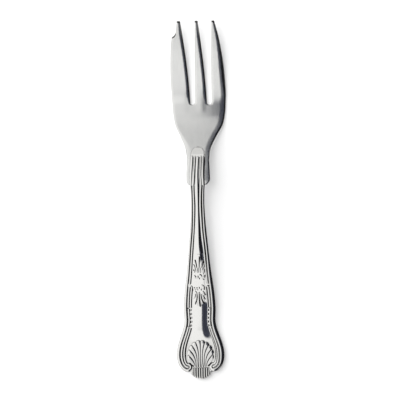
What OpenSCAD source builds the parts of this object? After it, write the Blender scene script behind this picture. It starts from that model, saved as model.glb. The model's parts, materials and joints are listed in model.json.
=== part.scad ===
// Pastry fork with a shell and thread handle, one struck blank of stainless steel.
// It lies on its back with the tines curving up: +Y runs from the handle to the
// tines, +X to the right of the fork and +Z up from the table.
// Every place is given as t, across from the middle line, s, along from the end of
// the foot, and h, square to the middle surface of the blank.

/* [Handle] */
// Length of the ornamented plate, from the end of the foot to the bare stem
plate_length = 57; // [54:0.5:62]
// Length of the bare stem, from the plate to the shoulders
stem_length = 24; // [20:0.5:32]
// Width across the lobes that flank the shell
lobe_width = 19.8; // [18.6:0.1:22]
// Width at the waist above the shell
waist_width = 12.9; // [12.6:0.1:15]
// Width of the stem at its narrowest
stem_width = 5.4; // [5.2:0.1:6.4]
// Distance of the widest place from the end of the foot
lobe_place = 10; // [9:0.1:11]
// Distance of the waist from the end of the foot
waist_place = 25; // [23:0.5:28]
// Thickness of the plate between its two reliefs
plate_thickness = 1.9; // [1.5:0.1:2.6]
// Thickness of the stem
stem_thickness = 2.8; // [2.4:0.1:3.6]
// Length of the foot below the lobes
foot_length = 3; // [2.4:0.1:3.2]
// Width of the foot
foot_width = 8.6; // [8:0.1:9.4]

/* [Head] */
// Length of the neck, from the shoulders to its waist
neck_length = 10.5; // [9:0.1:13]
// Length of the palm, from the waist of the neck to the slot roots
palm_length = 23.1; // [20:0.1:28]
// Length of the tines, from the slot roots to the tips
tine_length = 35.1; // [30:0.1:42]
// Reach of the neck's waist to the left of the middle line
neck_left = 4.05; // [3.6:0.05:4.6]
// Reach of the neck's waist to the right of the middle line
neck_right = 5.2; // [4.6:0.05:5.8]
// How far the left shoulder stands out past the neck's waist
left_shoulder_out = 0.5; // [0:0.05:1]
// How far the right shoulder stands out past the neck's waist
right_shoulder_out = 0.15; // [0:0.05:1]
// Reach of the palm to the left of the middle line, at the slot roots
palm_left = 9.7; // [8.8:0.05:11]
// Reach of the palm to the right of the middle line, at the slot roots
palm_right = 12.45; // [11.6:0.05:14]
// Thickness of the neck
neck_thickness = 2; // [1.6:0.1:2.6]
// Thickness of the palm
palm_thickness = 1.8; // [1.4:0.1:2.4]
// Thickness of the tines at their tips
tip_thickness = 1.35; // [1.1:0.05:1.7]
// Width of a slot at its root
slot_width = 2; // [1.6:0.1:2.4]
// Width of the middle tine at its root
middle_width = 4.96; // [4:0.02:5.4]
// Distance of the middle tine's root from the middle line, to the right
middle_place = 2.22; // [1.8:0.02:2.6]
// Width of the cutting tine's tip
cutting_tip_width = 1.3; // [0.9:0.05:1.6]
// Width of the middle tine's tip
middle_tip_width = 1.2; // [0.8:0.05:1.6]
// Width of the outer tine's tip
outer_tip_width = 1.1; // [0.8:0.05:1.6]
// Distance of the cutting tine's tip from the middle line, to the left
cutting_tip_place = 6.55; // [5.8:0.05:7]
// Distance of the middle tine's tip from the middle line, to the right
middle_tip_place = 0.87; // [0.4:0.01:1.4]
// Distance of the outer tine's tip from the middle line, to the right
outer_tip_place = 7.6; // [7.3:0.05:8.4]
// Outward swell of the cutting edge
cutting_swell = 0.6; // [0.2:0.05:1]
// Outward swell of the outer tine's edge
outer_swell = 1.33; // [0.8:0.01:1.6]
// Distance of the notch's corner from the tip of the cutting tine
notch_place = 7.1; // [6.6:0.1:10]
// Length of the notch's round
notch_length = 5.2; // [4:0.1:6]
// Depth of the notch in the cutting edge
notch_depth = 2.4; // [1.6:0.1:2.6]

/* [Side view] */
// Height of the middle of the neck above the table
neck_rise = 8.2; // [6:0.1:11]
// Rise of the tips above the heel
tip_rise = 7.6; // [5:0.1:10]
// Length of the flat under the heel, up to the slot roots
heel_flat = 4; // [2:0.1:6]

/* [Relief] */
// Height of the rims and threads
thread_height = 0.42; // [0.3:0.02:0.6]
// Width of the rim that follows the edge
rim_width = 1.25; // [1:0.01:1.3]
// Width of each thread inside the rim
thread_width = 0.92; // [0.7:0.01:1]
// Share of a ridge's width that is left where it reaches the neck
fine_share = 0.8; // [0.7:0.01:1]
// Groove left open between the ridges
groove_width = 0.13; // [0.08:0.01:0.2]
// Height of the shell
shell_height = 0.7; // [0.5:0.02:1]
// Count of the shell's lobes
shell_lobes = 10; // [6:2:12]
// Height of the flutes on the foot
foot_height = 0.5; // [0.3:0.02:0.7]
// Count of the flutes on the foot
foot_flutes = 8; // [4:2:10]
// Height of the petals, scrolls and beads
petal_height = 0.42; // [0.3:0.02:0.6]
// Width of a petal
petal_width = 0.85; // [0.6:0.01:0.95]
// Length of the upper honeysuckle, which points to the tines
upper_motif_length = 7.6; // [6.4:0.1:8.4]
// Length of the lower honeysuckle, which points to the shell
lower_motif_length = 6.8; // [5.8:0.1:7.4]
// Distance from the band between the honeysuckles to the end of the plate
band_back = 16.8; // [16:0.1:18]
// Length of each hairpin's legs
hairpin_length = 8.5; // [7:0.1:10]
// Length of the row of beads below each hairpin
bead_row_length = 9.3; // [8:0.1:10]
// Length of the tongues past the shoulders
tongue_length = 15.8; // [13:0.1:18]
// Height of the tongues at their rounded ends
tongue_height = 0.4; // [0.3:0.05:0.6]

/* [Hidden] */
steel = [0.78, 0.78, 0.77];
bright_steel = [0.86, 0.86, 0.85];
shade_steel = [0.62, 0.62, 0.63];

handle_length = plate_length + stem_length;
overall_length = handle_length + neck_length + palm_length + tine_length;
root_place = overall_length - tine_length;
waist_of_neck = handle_length + neck_length;
heel_place = root_place - heel_flat;
crest_place = handle_length + neck_length / 2;
rest_place = lobe_place;
rest_rise = shell_height + plate_thickness / 2;
small_step = overall_length / 2000;

lobe_half = lobe_width / 2;
waist_half = waist_width / 2;
stem_half = stem_width / 2;
foot_half = foot_width / 2;
lobe_root = foot_half + rim_width * 0.8;
slot_radius = slot_width / 2;

rim_line = rim_width / 2 + groove_width / 2;
thread_line = rim_width + groove_width * 1.5 + thread_width / 2;
inner_line = thread_line + thread_width + groove_width;

shell_half = lobe_half - inner_line - thread_width - groove_width * 4;
shell_foot = foot_length + thread_width * 2.2;
shell_top = shell_foot + lobe_place * 1.12;
band_place = plate_length - band_back;
hairpin_top = band_place - thread_width * 2.2;
scroll_high = hairpin_top - hairpin_length;
scroll_low = scroll_high - bead_row_length;
tongue_half = stem_half * 1.12;
thread_end = handle_length + tongue_length * 0.8;

// Taper from the waist, 1, to the narrowest of the stem, 0
taper_shares = [[0, 1], [0.09, 1.045], [0.196, 0.934], [0.286, 0.761], [0.41, 0.523],
    [0.554, 0.316], [0.696, 0.125], [0.84, 0], [0.946, 0.02], [1, 0.085]];
// Spread from the neck's waist, 0, to the slot roots, 1
palm_shares = [[0, 0], [0.195, 0.1], [0.411, 0.43], [0.628, 0.805], [0.844, 0.96], [1, 1]];
// Outward swell of the two outer edges of the head along the tines
outer_swell_shares = [[0, 0], [0.15, 0.56], [0.3, 0.81], [0.45, 1], [0.6, 0.94], [0.8, 0.68], [1, 0]];
cutting_swell_shares = [[0, 0], [0.14, 0.5], [0.28, 1], [0.6, 0.88], [1, 0.82]];
// Root and tip of each petal, across and along, as shares of the honeysuckle
petal_shares = [
    [[0, 0.16], [0, 1]],
    [[0.3, 0.22], [0.68, 0.84]],
    [[0.6, 0.08], [0.92, 0.52]],
    [[0.34, -0.1], [0.82, 0.14]]];

function ramp(u) = (1 - cos(180 * min(max(u, 0), 1))) / 2;
function mix(a, b, u) = a + (b - a) * u;
function backwards(v) = [for (i = [len(v) - 1 : -1 : 0]) v[i]];
function span(a, b, n) = [for (k = [0 : n]) mix(a, b, k / n)];

// Smooth curve through a table of places and values
function seat(table, x, i = 0) =
    i >= len(table) - 2 || x < table[i + 1][0] ? i : seat(table, x, i + 1);
function lean(table, i) =
    let (a = max(i - 1, 0), b = min(i + 1, len(table) - 1))
    (table[b][1] - table[a][1]) / (table[b][0] - table[a][0]);
function smooth(table, x) =
    let (
        i = seat(table, x),
        w = table[i + 1][0] - table[i][0],
        u = min(max((x - table[i][0]) / w, 0), 1),
        from = (1 + 2 * u) * (1 - u) * (1 - u) * table[i][1],
        to = u * u * (3 - 2 * u) * table[i + 1][1]
    )
    from + to + u * (1 - u) * w * ((1 - u) * lean(table, i) - u * lean(table, i + 1));

// Half width of the handle: the arc of the foot, the lobes, the waist and the taper
function handle_half(s) =
    s <= foot_length ? foot_half * sqrt(1 - pow(1 - s / foot_length, 2)) :
    s <= lobe_place ?
        mix(lobe_root, lobe_half, sqrt(1 - pow((lobe_place - s) / (lobe_place - foot_length), 2))) :
    s <= waist_place ? mix(lobe_half, waist_half, ramp((s - lobe_place) / (waist_place - lobe_place))) :
    mix(stem_half, waist_half, smooth(taper_shares, (s - waist_place) / (handle_length - waist_place)));

// Reach of the shoulders and palm on one side, from that side's own sizes
function head_reach(s, neck, out, palm) =
    s < waist_of_neck ?
        let (u = (s - handle_length) / neck_length, round_in = min(1, u * 4))
        mix(tongue_half, neck + out * (1 - ramp(u * 1.6 - 0.6)), sqrt(1 - pow(1 - round_in, 2))) :
    mix(neck, palm, smooth(palm_shares, (s - waist_of_neck) / palm_length));
function left_reach(s) = head_reach(s, neck_left, left_shoulder_out, palm_left);
function right_reach(s) = head_reach(s, neck_right, right_shoulder_out, palm_right);

// Places along the tines, closer together in the round of the slot roots
tine_marks = concat(
    [for (a = [0 : 22.5 : 67.5]) root_place + slot_radius * (1 - cos(a))],
    span(root_place + slot_radius, overall_length - notch_place, 10),
    [for (u = span(0, 1, 7)) if (u > 0) mix(overall_length - notch_place, overall_length, pow(u, 1.3))]);
function along_tine(s) = (s - root_place) / tine_length;

// Outer edges of the cutting tine, before its notch, and of the outer tine
function cutting_side(s) = palm_left + cutting_swell * smooth(cutting_swell_shares, along_tine(s));
function outer_side(s) =
    mix(palm_right, outer_tip_place + outer_tip_width / 2, along_tine(s))
    + outer_swell * smooth(outer_swell_shares, along_tine(s));
middle_shift = (max([for (s = tine_marks) outer_side(s)]) - max([for (s = tine_marks) cutting_side(s)])) / 2;

// Height of the blank's middle surface, its tilt along the fork, and its thickness
function middle_rise(s) =
    s < rest_place ? rest_rise :
    s < crest_place ? mix(rest_rise, neck_rise, ramp((s - rest_place) / (crest_place - rest_place))) :
    s < heel_place ?
        mix(neck_rise, palm_thickness / 2, ramp((s - crest_place) / (heel_place - crest_place))) :
    palm_thickness / 2 + tip_rise * pow(max(0, s - root_place) / tine_length, 2);
function tilt(s) = atan2(middle_rise(s + small_step) - middle_rise(s - small_step), small_step * 2);
function handle_thick(s) =
    mix(plate_thickness, stem_thickness, ramp((s - waist_place) / (plate_length - waist_place)));
function head_thick(s) =
    s < heel_place ? mix(neck_thickness, palm_thickness, ramp((s - waist_of_neck) / (heel_place - waist_of_neck))) :
    mix(palm_thickness, tip_thickness, max(0, s - root_place) / tine_length);

// Height of the front surface that carries the relief, on the handle and the tongues
function face_rise(s) =
    s <= handle_length ? handle_thick(s) / 2 :
    mix(stem_thickness / 2, head_thick(s) / 2 + tongue_height, ramp((s - handle_length) / tongue_length));

// A place on the blank, and a place on the relief of its front, 1, or back, -1
tip_overhang = tip_thickness / 2 * sin(tilt(overall_length - small_step));
middle_length = (overall_length + tip_overhang) / 2;
function on_blank(t, s, h) =
    [t - middle_shift, s - middle_length - h * sin(tilt(s)), max(0, middle_rise(s) + h * cos(tilt(s)))];
function on_face(p, h, face) = on_blank(p[0], p[1], face * (face_rise(p[1]) + h));

// Cross-section with eased edges, square to the blank at s
function slice(s, left, right, low, high, ease) =
    let (e = min(ease, (right - left) / 3), d = min(ease, high - low) / 3)
    [for (c = [[left + e, low], [right - e, low], [right, low + d], [right, high - d],
        [right - e, high], [left + e, high], [left, high - d], [left, low + d]])
        on_blank(c[0], s, c[1])];

// Closed solid through a row of rings with the same count of corners
module loft(rings) {
    n = len(rings[0]);
    last = (len(rings) - 1) * n;
    polyhedron(
        points = [for (ring = rings) each ring],
        faces = concat(
            [[for (i = [n - 1 : -1 : 0]) i]],
            [[for (i = [0 : n - 1]) last + i]],
            [for (a = [0 : n : last - n], i = [0 : n - 1], half = [0, 1])
                let (j = (i + 1) % n)
                half == 0 ? [a + i, a + j, a + n + j] : [a + i, a + n + j, a + n + i]]
        )
    );
}

// Ridge along a path on one face, with a list of widths and one of heights
module ridge(path, widths, heights, face) {
    n = len(path) - 1;
    loft([for (i = [0 : n])
        let (
            ahead = path[min(i + 1, n)] - path[max(i - 1, 0)],
            across = [ahead[1], -ahead[0]] / norm(ahead) * widths[i] / 2,
            ring = [for (c = [[-1, 0], [1, 0], [0.72, 0.66], [0, 1], [-0.72, 0.66]])
                on_face(path[i] + across * c[0], heights[i] * c[1], face)]
        )
        face > 0 ? ring : backwards(ring)]);
}

// Shares for a ridge with blunt ends, and for a petal
function blunt(path) = [for (i = [0 : len(path) - 1]) i == 0 || i == len(path) - 1 ? 0.5 : 1];
function petal(path) =
    let (n = len(path) - 1)
    [for (i = [0 : n]) 0.3 + 0.7 * sin(180 * pow(i / n, 1.4))];

// Curve from a root to a tip that sets out along the fork and bends outward
function bent(root, tip, n) =
    let (control = [mix(root[0], tip[0], 0.2), mix(root[1], tip[1], 0.65)])
    [for (u = span(0, 1, n)) root * pow(1 - u, 2) + control * 2 * u * (1 - u) + tip * u * u];

// Relief from a grid of places and heights, with a flat underside on the face
module relief_grid(rows, face) {
    m = len(rows[0]);
    n = len(rows);
    top = [for (row = rows) each [for (c = row) on_face([c[0], c[1]], c[2], face)]];
    under = [for (row = rows) each [for (c = row) on_face([c[0], c[1]], 0, face)]];
    count = n * m;
    rim = concat([for (i = [0 : m - 1]) i], [for (k = [1 : n - 1]) k * m + m - 1],
        [for (i = [m - 2 : -1 : 0]) (n - 1) * m + i], [for (k = [n - 2 : -1 : 1]) k * m]);
    quads = concat(
        [for (k = [0 : n - 2], i = [0 : m - 2])
            [k * m + i, k * m + m + i, k * m + m + i + 1, k * m + i + 1]],
        [for (k = [0 : n - 2], i = [0 : m - 2])
            [for (q = [k * m + i, k * m + i + 1, k * m + m + i + 1, k * m + m + i]) q + count]],
        [for (i = [0 : len(rim) - 1])
            let (a = rim[i], b = rim[(i + 1) % len(rim)]) [a, b, b + count, a + count]]);
    polyhedron(
        points = concat(top, under),
        faces = [for (q = quads, half = [0, 1])
            let (f = half == 0 ? [q[0], q[1], q[2]] : [q[0], q[2], q[3]])
            face > 0 ? f : backwards(f)]
    );
}

module palm() {
    color(steel)
    loft([for (s = span(waist_of_neck, root_place, 16))
        slice(s, -left_reach(s), right_reach(s), -head_thick(s) / 2, head_thick(s) / 2, palm_thickness)]);
}

// Flare of a tine's edge into the round root of a slot
function root_flare(s) =
    let (d = min(1, (s - root_place) / slot_radius))
    slot_radius * (1 - sqrt(1 - pow(1 - d, 2)));

module tine(left, right) {
    color(steel)
    loft([for (i = [0 : len(tine_marks) - 1])
        let (thick = head_thick(tine_marks[i]))
        slice(tine_marks[i], left[i], right[i], -thick / 2, thick / 2, tip_thickness)]);
}

module cutting_tine() {
    root = middle_place - middle_width / 2 - slot_width;
    tip = -cutting_tip_place + cutting_tip_width / 2;
    corner = overall_length - notch_place;
    cut = function (s) notch_depth * sqrt(1 - pow(1 - min(1, max(0, s - corner) / notch_length), 2));
    past = function (s) max(0, s - corner - notch_length) / (notch_place - notch_length);
    tine(
        [for (s = tine_marks) mix(cut(s) - cutting_side(s), tip - cutting_tip_width, past(s))],
        [for (s = tine_marks) mix(root, tip, pow(along_tine(s), 1.6)) + root_flare(s)]
    );
}

module middle_tine() {
    place = function (s) mix(middle_place, middle_tip_place, pow(along_tine(s), 1.6));
    half = function (s) mix(middle_width, middle_tip_width, pow(along_tine(s), 1.5)) / 2 + root_flare(s);
    tine([for (s = tine_marks) place(s) - half(s)], [for (s = tine_marks) place(s) + half(s)]);
}

module outer_tine() {
    root = middle_place + middle_width / 2 + slot_width;
    tip = outer_tip_place - outer_tip_width / 2;
    tine(
        [for (s = tine_marks) mix(root, tip, pow(along_tine(s), 2)) - root_flare(s)],
        [for (s = tine_marks) outer_side(s)]
    );
}

module shoulders() {
    color(steel)
    loft([for (u = [0, 0.03, 0.08, 0.14, 0.2, 0.26, 0.4, 0.55, 0.7, 0.85, 1])
        let (s = handle_length + neck_length * u)
        slice(s, -left_reach(s), right_reach(s), -head_thick(s) / 2, head_thick(s) / 2, neck_thickness)]);
}

module stem() {
    color(steel)
    loft([for (s = span(plate_length, handle_length, 8))
        slice(s, -handle_half(s), handle_half(s), -handle_thick(s) / 2, handle_thick(s) / 2, groove_width / 2)]);
}

module handle_plate() {
    marks = concat(
        [for (a = [20 : 17.5 : 90]) foot_length * (1 - cos(a))],
        [for (a = [10 : 16 : 90]) lobe_place - (lobe_place - foot_length) * cos(a)],
        span(lobe_place, waist_place, 6),
        [for (u = span(0, 1, 12)) if (u > 0) mix(waist_place, plate_length, u)]);
    places = concat([0], marks);
    color(steel)
    loft([for (s = places)
        let (half = s == 0 ? foot_half * 0.2 : handle_half(s))
        slice(s, -half, half, -handle_thick(s) / 2, handle_thick(s) / 2, groove_width / 2)]);
}

// Rounded end of the stem that laps onto the palm
module tongue(face) {
    color(bright_steel)
    loft([for (u = [0, 0.2, 0.4, 0.6, 0.75, 0.83, 0.9, 0.95, 0.98, 1])
        let (
            s = handle_length + tongue_length * u,
            round_off = sqrt(1 - pow(max(0, u * 5.3 - 4.3), 2) * 0.85),
            half = tongue_half * round_off,
            low = face * head_thick(s) / 2,
            high = face * face_rise(s),
            ring = [for (c = [[-half, low], [half, low], [half * 0.86, high], [-half * 0.86, high]])
                on_blank(c[0], s, c[1])]
        )
        face > 0 ? ring : backwards(ring)]);
}
module front_tongue() { tongue(1); }
module back_tongue() { tongue(-1); }

// How fine the ridges are at s, and a place on a line that runs beside the edge
function fine(s) = mix(1, fine_share, ramp((s - waist_place) / (handle_length - waist_place)));
function fined(path, width) = [for (i = [0 : len(path) - 1]) width * fine(path[i][1]) * blunt(path)[i]];
function beside(s, d) = [handle_half(min(s, handle_length)) - d * fine(s), s];
function round_lobe(a, d) =
    [lobe_root + (lobe_half - lobe_root - d) * cos(a), lobe_place + (lobe_place - foot_length - d) * sin(a)];
function flip(path, hand) = [for (p = path) [p[0] * hand, p[1]]];

// Rim, island thread, hairpin and stem thread of one side, hand 1 for the right
module border(hand, face) {
    low_rim = round_lobe(-90, rim_line);
    low_inner = round_lobe(-90, inner_line);
    turn = (low_inner[1] - low_rim[1]) / 2;
    inner_leg = concat(
        [for (s = span(scroll_low, lobe_place, 6)) beside(s, inner_line)],
        [for (a = [-18 : -18 : -90]) round_lobe(a, inner_line)]);
    outer_leg = concat(
        [for (a = [120 : 30 : 240])
            [lobe_root + turn * 1.15 * cos(a), low_rim[1] + turn * (1 + sin(a))]],
        [for (a = [-90 : 15 : -15]) round_lobe(a, rim_line)],
        [for (s = span(lobe_place, scroll_low, 6)) beside(s, rim_line)],
        [for (s = span(scroll_low, handle_length, 29)) if (s > scroll_low) beside(s, rim_line)]);
    rim = concat(inner_leg, outer_leg);
    rim_widths = [for (i = [0 : len(rim) - 1])
        mix(thread_width, rim_width, ramp((i - len(inner_leg)) / 6)) / rim_width];
    island = concat(
        [for (s = span(scroll_low, lobe_place, 6)) beside(s, thread_line)],
        [for (a = [-18 : -18 : -90]) round_lobe(a, thread_line)]);
    pin = (inner_line - thread_line) / 2 * fine(hairpin_top);
    pin_middle = beside(hairpin_top, thread_line)[0] - pin;
    hairpin = concat(
        [for (s = span(scroll_high, hairpin_top, 4)) beside(s, thread_line)],
        [for (a = [30 : 30 : 150]) [pin_middle + pin * cos(a), hairpin_top + pin * sin(a)]],
        [for (s = span(hairpin_top, scroll_high, 4)) beside(s, inner_line)]);
    thread = concat(
        [for (s = span(band_place, handle_length, 16)) beside(s, thread_line)],
        [for (s = span(handle_length, thread_end, 5)) if (s > handle_length) beside(s, thread_line)]);
    rim_size = fined(rim, rim_width);
    color(bright_steel) {
        ridge(flip(rim, hand), [for (i = [0 : len(rim) - 1]) rim_size[i] * rim_widths[i]],
            blunt(rim) * thread_height, face);
        for (line = [island, hairpin, thread])
            ridge(flip(line, hand), fined(line, thread_width), blunt(line) * thread_height, face);
    }
}
module front_left_border() { border(-1, 1); }
module front_right_border() { border(1, 1); }
module back_left_border() { border(-1, -1); }
module back_right_border() { border(1, -1); }

// Row of scroll beads between the hairpin and the lower threads
module beads(hand, face) {
    count = 6;
    pitch = (scroll_high - scroll_low) / (count + 1);
    color(bright_steel)
    for (k = [1 : count]) {
        s = scroll_low + pitch * k;
        middle = beside(s, (thread_line + inner_line) / 2);
        swing = [thread_width * 0.75, -pitch * 0.32];
        path = [for (u = span(-1, 1, 4)) middle + swing * u + [0, pitch * 0.12 * u * u]];
        ridge(flip(path, hand), petal(path) * petal_width, petal(path) * petal_height, face);
    }
}
module front_left_beads() { beads(-1, 1); }
module front_right_beads() { beads(1, 1); }
module back_left_beads() { beads(-1, -1); }
module back_right_beads() { beads(1, -1); }

// Rib down the middle of the stem and tongue, widening into the panel
module stem_rib(face) {
    low = band_place + upper_motif_length * 1.62;
    path = [for (s = span(low, thread_end, 16)) [0, s]];
    inside = thread_line + thread_width / 2 + groove_width;
    ends = blunt(path);
    widths = [for (i = [0 : len(path) - 1]) beside(path[i][1], inside)[0] * 2 * ends[i]];
    color(bright_steel) ridge(path, widths, ends * thread_height, face);
}
module front_stem_rib() { stem_rib(1); }
module back_stem_rib() { stem_rib(-1); }

// Honeysuckle with its knot of scrolls, pointing to the tines, 1, or the shell, -1
module honeysuckle(way, length, face) {
    root = band_place + way * (groove_width + length * 0.56);
    knot = band_place + way * (groove_width + length * 0.22);
    line = way > 0 ? thread_line : inner_line;
    reach = beside(root + way * length, line + thread_width / 2 + petal_width * 0.6)[0];
    color(bright_steel) {
        for (p = petal_shares, hand = p[0][0] == 0 ? [1] : [-1, 1]) {
            from = [reach * p[0][0] * hand, root + way * length * p[0][1]];
            to = [reach * p[1][0] * hand, root + way * length * p[1][1]];
            path = bent(from, to, 5);
            ridge(path, petal(path) * petal_width, petal(path) * petal_height, face);
        }
        for (hand = [-1, 1]) {
            path = [for (a = [60 : 40 : 300])
                [hand * reach * (0.5 - 0.24 * cos(a)), knot + way * length * 0.13 * sin(a)]];
            ridge(path, blunt(path) * petal_width * 0.6, blunt(path) * petal_height, face);
        }
    }
}
module front_upper_honeysuckle() { honeysuckle(1, upper_motif_length, 1); }
module front_lower_honeysuckle() { honeysuckle(-1, lower_motif_length, 1); }
module back_upper_honeysuckle() { honeysuckle(1, upper_motif_length, -1); }
module back_lower_honeysuckle() { honeysuckle(-1, lower_motif_length, -1); }

// Crest of a flute, 0 in the grooves and 1 on its back, for x from -1 to 1
function flute(x, count) = sin(180 * ((x + 1) / 2 * count - floor((x + 1) / 2 * count)));

// Scallop shell whose lobes fan out from the line above the foot
module shell(face) {
    base_half = foot_half * 0.66;
    middle = mix(shell_foot, shell_top, 0.4);
    columns = span(-1, 1, shell_lobes * 4);
    rows = [for (v = span(0, 1, 6)) [for (x = columns)
        let (
            crest = flute(x, shell_lobes),
            reach = 1 - 0.1 * pow(1 - crest, 2),
            base = [base_half * x, shell_foot],
            tip = [shell_half * sin(x * 115), middle + (shell_top - middle) * cos(x * 115)],
            control = [base[0] * 1.1, mix(shell_foot, tip[1], 0.55)],
            u = v * reach,
            place = base * pow(1 - u, 2) + control * 2 * u * (1 - u) + tip * u * u,
            body = v < 1 ? mix(0.62, 1, v) : 0.6
        )
        [place[0], place[1], shell_height * body * mix(0.45, 1, crest)]]];
    color(bright_steel) relief_grid(rows, face);
}
module front_shell() { shell(1); }
module back_shell() { shell(-1); }

// Flutes on the foot, below the line at the root of the shell
module flutes(face) {
    top_half = foot_half * 0.66;
    top = shell_foot - groove_width * 2;
    columns = span(-1, 1, foot_flutes * 4);
    rows = [for (v = [0, 0.4, 0.8, 1]) [for (x = columns)
        let (
            low_t = foot_half * 0.9 * x,
            low_s = foot_length * (1 - sqrt(1 - pow(low_t / foot_half, 2))),
            crest = flute(x, foot_flutes)
        )
        [mix(low_t, top_half * x, v), mix(low_s, top, v), foot_height * mix(0.4, 1, crest) * (v == 0 ? 0.6 : 1)]]];
    color(shade_steel) relief_grid(rows, face);
}
module front_foot_flutes() { flutes(1); }
module back_foot_flutes() { flutes(-1); }

palm();
cutting_tine();
middle_tine();
outer_tine();
shoulders();
stem();
handle_plate();
front_tongue();
back_tongue();
front_left_border();
front_right_border();
front_left_beads();
front_right_beads();
front_stem_rib();
front_upper_honeysuckle();
front_lower_honeysuckle();
front_shell();
front_foot_flutes();
back_left_border();
back_right_border();
back_left_beads();
back_right_beads();
back_stem_rib();
back_upper_honeysuckle();
back_lower_honeysuckle();
back_shell();
back_foot_flutes();
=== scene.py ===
# Pastry fork with a shell and thread handle: the finished surfaces around its frame.
# A place on the blank is t across, s along from the foot and h square to it, in millimetres.
import json
import math

import bpy
import numpy as np
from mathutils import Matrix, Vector
from mathutils.geometry import delaunay_2d_cdt


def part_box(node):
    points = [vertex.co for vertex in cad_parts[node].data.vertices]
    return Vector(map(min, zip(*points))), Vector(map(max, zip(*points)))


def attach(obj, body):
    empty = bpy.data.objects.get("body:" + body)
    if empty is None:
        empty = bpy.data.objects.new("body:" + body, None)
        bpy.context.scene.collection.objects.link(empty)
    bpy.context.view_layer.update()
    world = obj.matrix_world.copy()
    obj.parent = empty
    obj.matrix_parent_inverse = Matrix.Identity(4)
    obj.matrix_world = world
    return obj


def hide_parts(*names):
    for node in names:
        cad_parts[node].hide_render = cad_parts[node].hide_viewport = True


print("loading the frame")
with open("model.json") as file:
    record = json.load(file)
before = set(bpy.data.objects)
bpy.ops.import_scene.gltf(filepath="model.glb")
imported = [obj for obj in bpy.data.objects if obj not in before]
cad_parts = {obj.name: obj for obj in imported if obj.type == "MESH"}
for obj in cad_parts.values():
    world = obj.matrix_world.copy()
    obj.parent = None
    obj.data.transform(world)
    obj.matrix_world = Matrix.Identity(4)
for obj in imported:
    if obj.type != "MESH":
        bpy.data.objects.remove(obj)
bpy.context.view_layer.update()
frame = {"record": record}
perMetre = 1000

blank = {
    "plateLength": 57, "stemLength": 24, "neckLength": 10.5, "palmLength": 23.1, "tineLength": 35.1,
    "footLength": 3, "footWidth": 8.6, "lobeWidth": 19.8, "lobePlace": 10, "lobeStep": 1,
    "waistWidth": 12.9, "waistPlace": 25, "stemWidth": 5.6,
    "plateThickness": 1.9, "stemThickness": 2.8, "neckThickness": 2, "palmThickness": 1.8,
    "tipThickness": 1.35, "neckRise": 8.2, "tipRise": 7.6, "heelFlat": 4, "shellHeight": 0.7,
    "tongueLength": 15.8, "tongueHeight": 0.4, "threadShare": 0.755,
    "taperShares": [(0, 1), (0.09, 1.045), (0.196, 0.934), (0.286, 0.761), (0.41, 0.523),
                    (0.554, 0.316), (0.696, 0.125), (0.84, 0), (0.946, 0.02), (1, 0.085)],
}
footLength, lobePlace, waistPlace, plateLength = (
    blank[key] for key in ("footLength", "lobePlace", "waistPlace", "plateLength"))
handleLength = plateLength + blank["stemLength"]
neckWaist = handleLength + blank["neckLength"]
slotRoot = neckWaist + blank["palmLength"]
forkLength = slotRoot + blank["tineLength"]
heelPlace = slotRoot - blank["heelFlat"]
crestPlace = handleLength + blank["neckLength"] / 2
threadsEnd = handleLength + blank["tongueLength"] * blank["threadShare"]
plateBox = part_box("handle_plate")
middleShift = -(plateBox[0].x + plateBox[1].x) / 2 * perMetre
middleLength = -plateBox[0].y * perMetre
footHalf, lobeHalf, waistHalf, stemHalf = (
    blank[part + "Width"] / 2 for part in ("foot", "lobe", "waist", "stem"))
lobeRoot = footHalf + blank["lobeStep"]


def mix(a, b, u):
    return a + (b - a) * u


def ramp(u):
    return (1 - np.cos(np.pi * np.clip(u, 0, 1))) / 2


def arc(u):
    return np.sqrt(np.maximum(0, 1 - (1 - np.clip(u, 0, 1)) ** 2))


def span(s, start, end):
    # The share of the way from start to end.
    return (s - start) / (end - start)


def step(s, start, length):
    # Rises from 0 at start to 1 a length further on.
    return ramp((s - start) / length)


def plateau(s, starts, ends):
    # 1 between a rise and a fall, each given by its start and its length.
    return step(s, *starts) * (1 - step(s, *ends))


def smooth(table, x):
    # A smooth line through rows of place and value.
    places, values = np.array(table, float).T
    leans = np.gradient(values, places)
    leans[1:-1] = (values[2:] - values[:-2]) / (places[2:] - places[:-2])
    x = np.clip(x, places[0], places[-1])
    i = np.clip(np.searchsorted(places, x, side="right") - 1, 0, len(places) - 2)
    w = places[i + 1] - places[i]
    u = (x - places[i]) / w
    ends = (1 + 2 * u) * (1 - u) ** 2 * values[i] + u * u * (3 - 2 * u) * values[i + 1]
    return ends + u * (1 - u) * w * ((1 - u) * leans[i] - u * leans[i + 1])


def tineShare(s):
    return np.maximum(0, s - slotRoot) / blank["tineLength"]


def middleRise(s):
    rest = blank["shellHeight"] + blank["plateThickness"] / 2
    low = blank["palmThickness"] / 2
    handle = mix(rest, blank["neckRise"], ramp(span(s, lobePlace, crestPlace)))
    palm = mix(blank["neckRise"], low, ramp(span(s, crestPlace, heelPlace)))
    tines = low + blank["tipRise"] * tineShare(s) ** 2
    return np.where(s < crestPlace, handle, np.where(s < heelPlace, palm, tines))


def tilt(s):
    near = forkLength / 2000
    return np.arctan2(middleRise(s + near) - middleRise(s - near), 2 * near)


def handleThick(s):
    toStem = ramp(span(s, waistPlace, plateLength))
    return mix(blank["plateThickness"], blank["stemThickness"], toStem)


def headThick(s):
    neck = mix(blank["neckThickness"], blank["palmThickness"], ramp(span(s, neckWaist, heelPlace)))
    tines = mix(blank["palmThickness"], blank["tipThickness"], tineShare(s))
    return np.where(s < heelPlace, neck, tines)


def faceRise(s):
    lap = step(s, handleLength, blank["tongueLength"])
    lapped = mix(blank["stemThickness"] / 2, headThick(s) / 2 + blank["tongueHeight"], lap)
    return np.where(s <= handleLength, handleThick(s) / 2, lapped)


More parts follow.
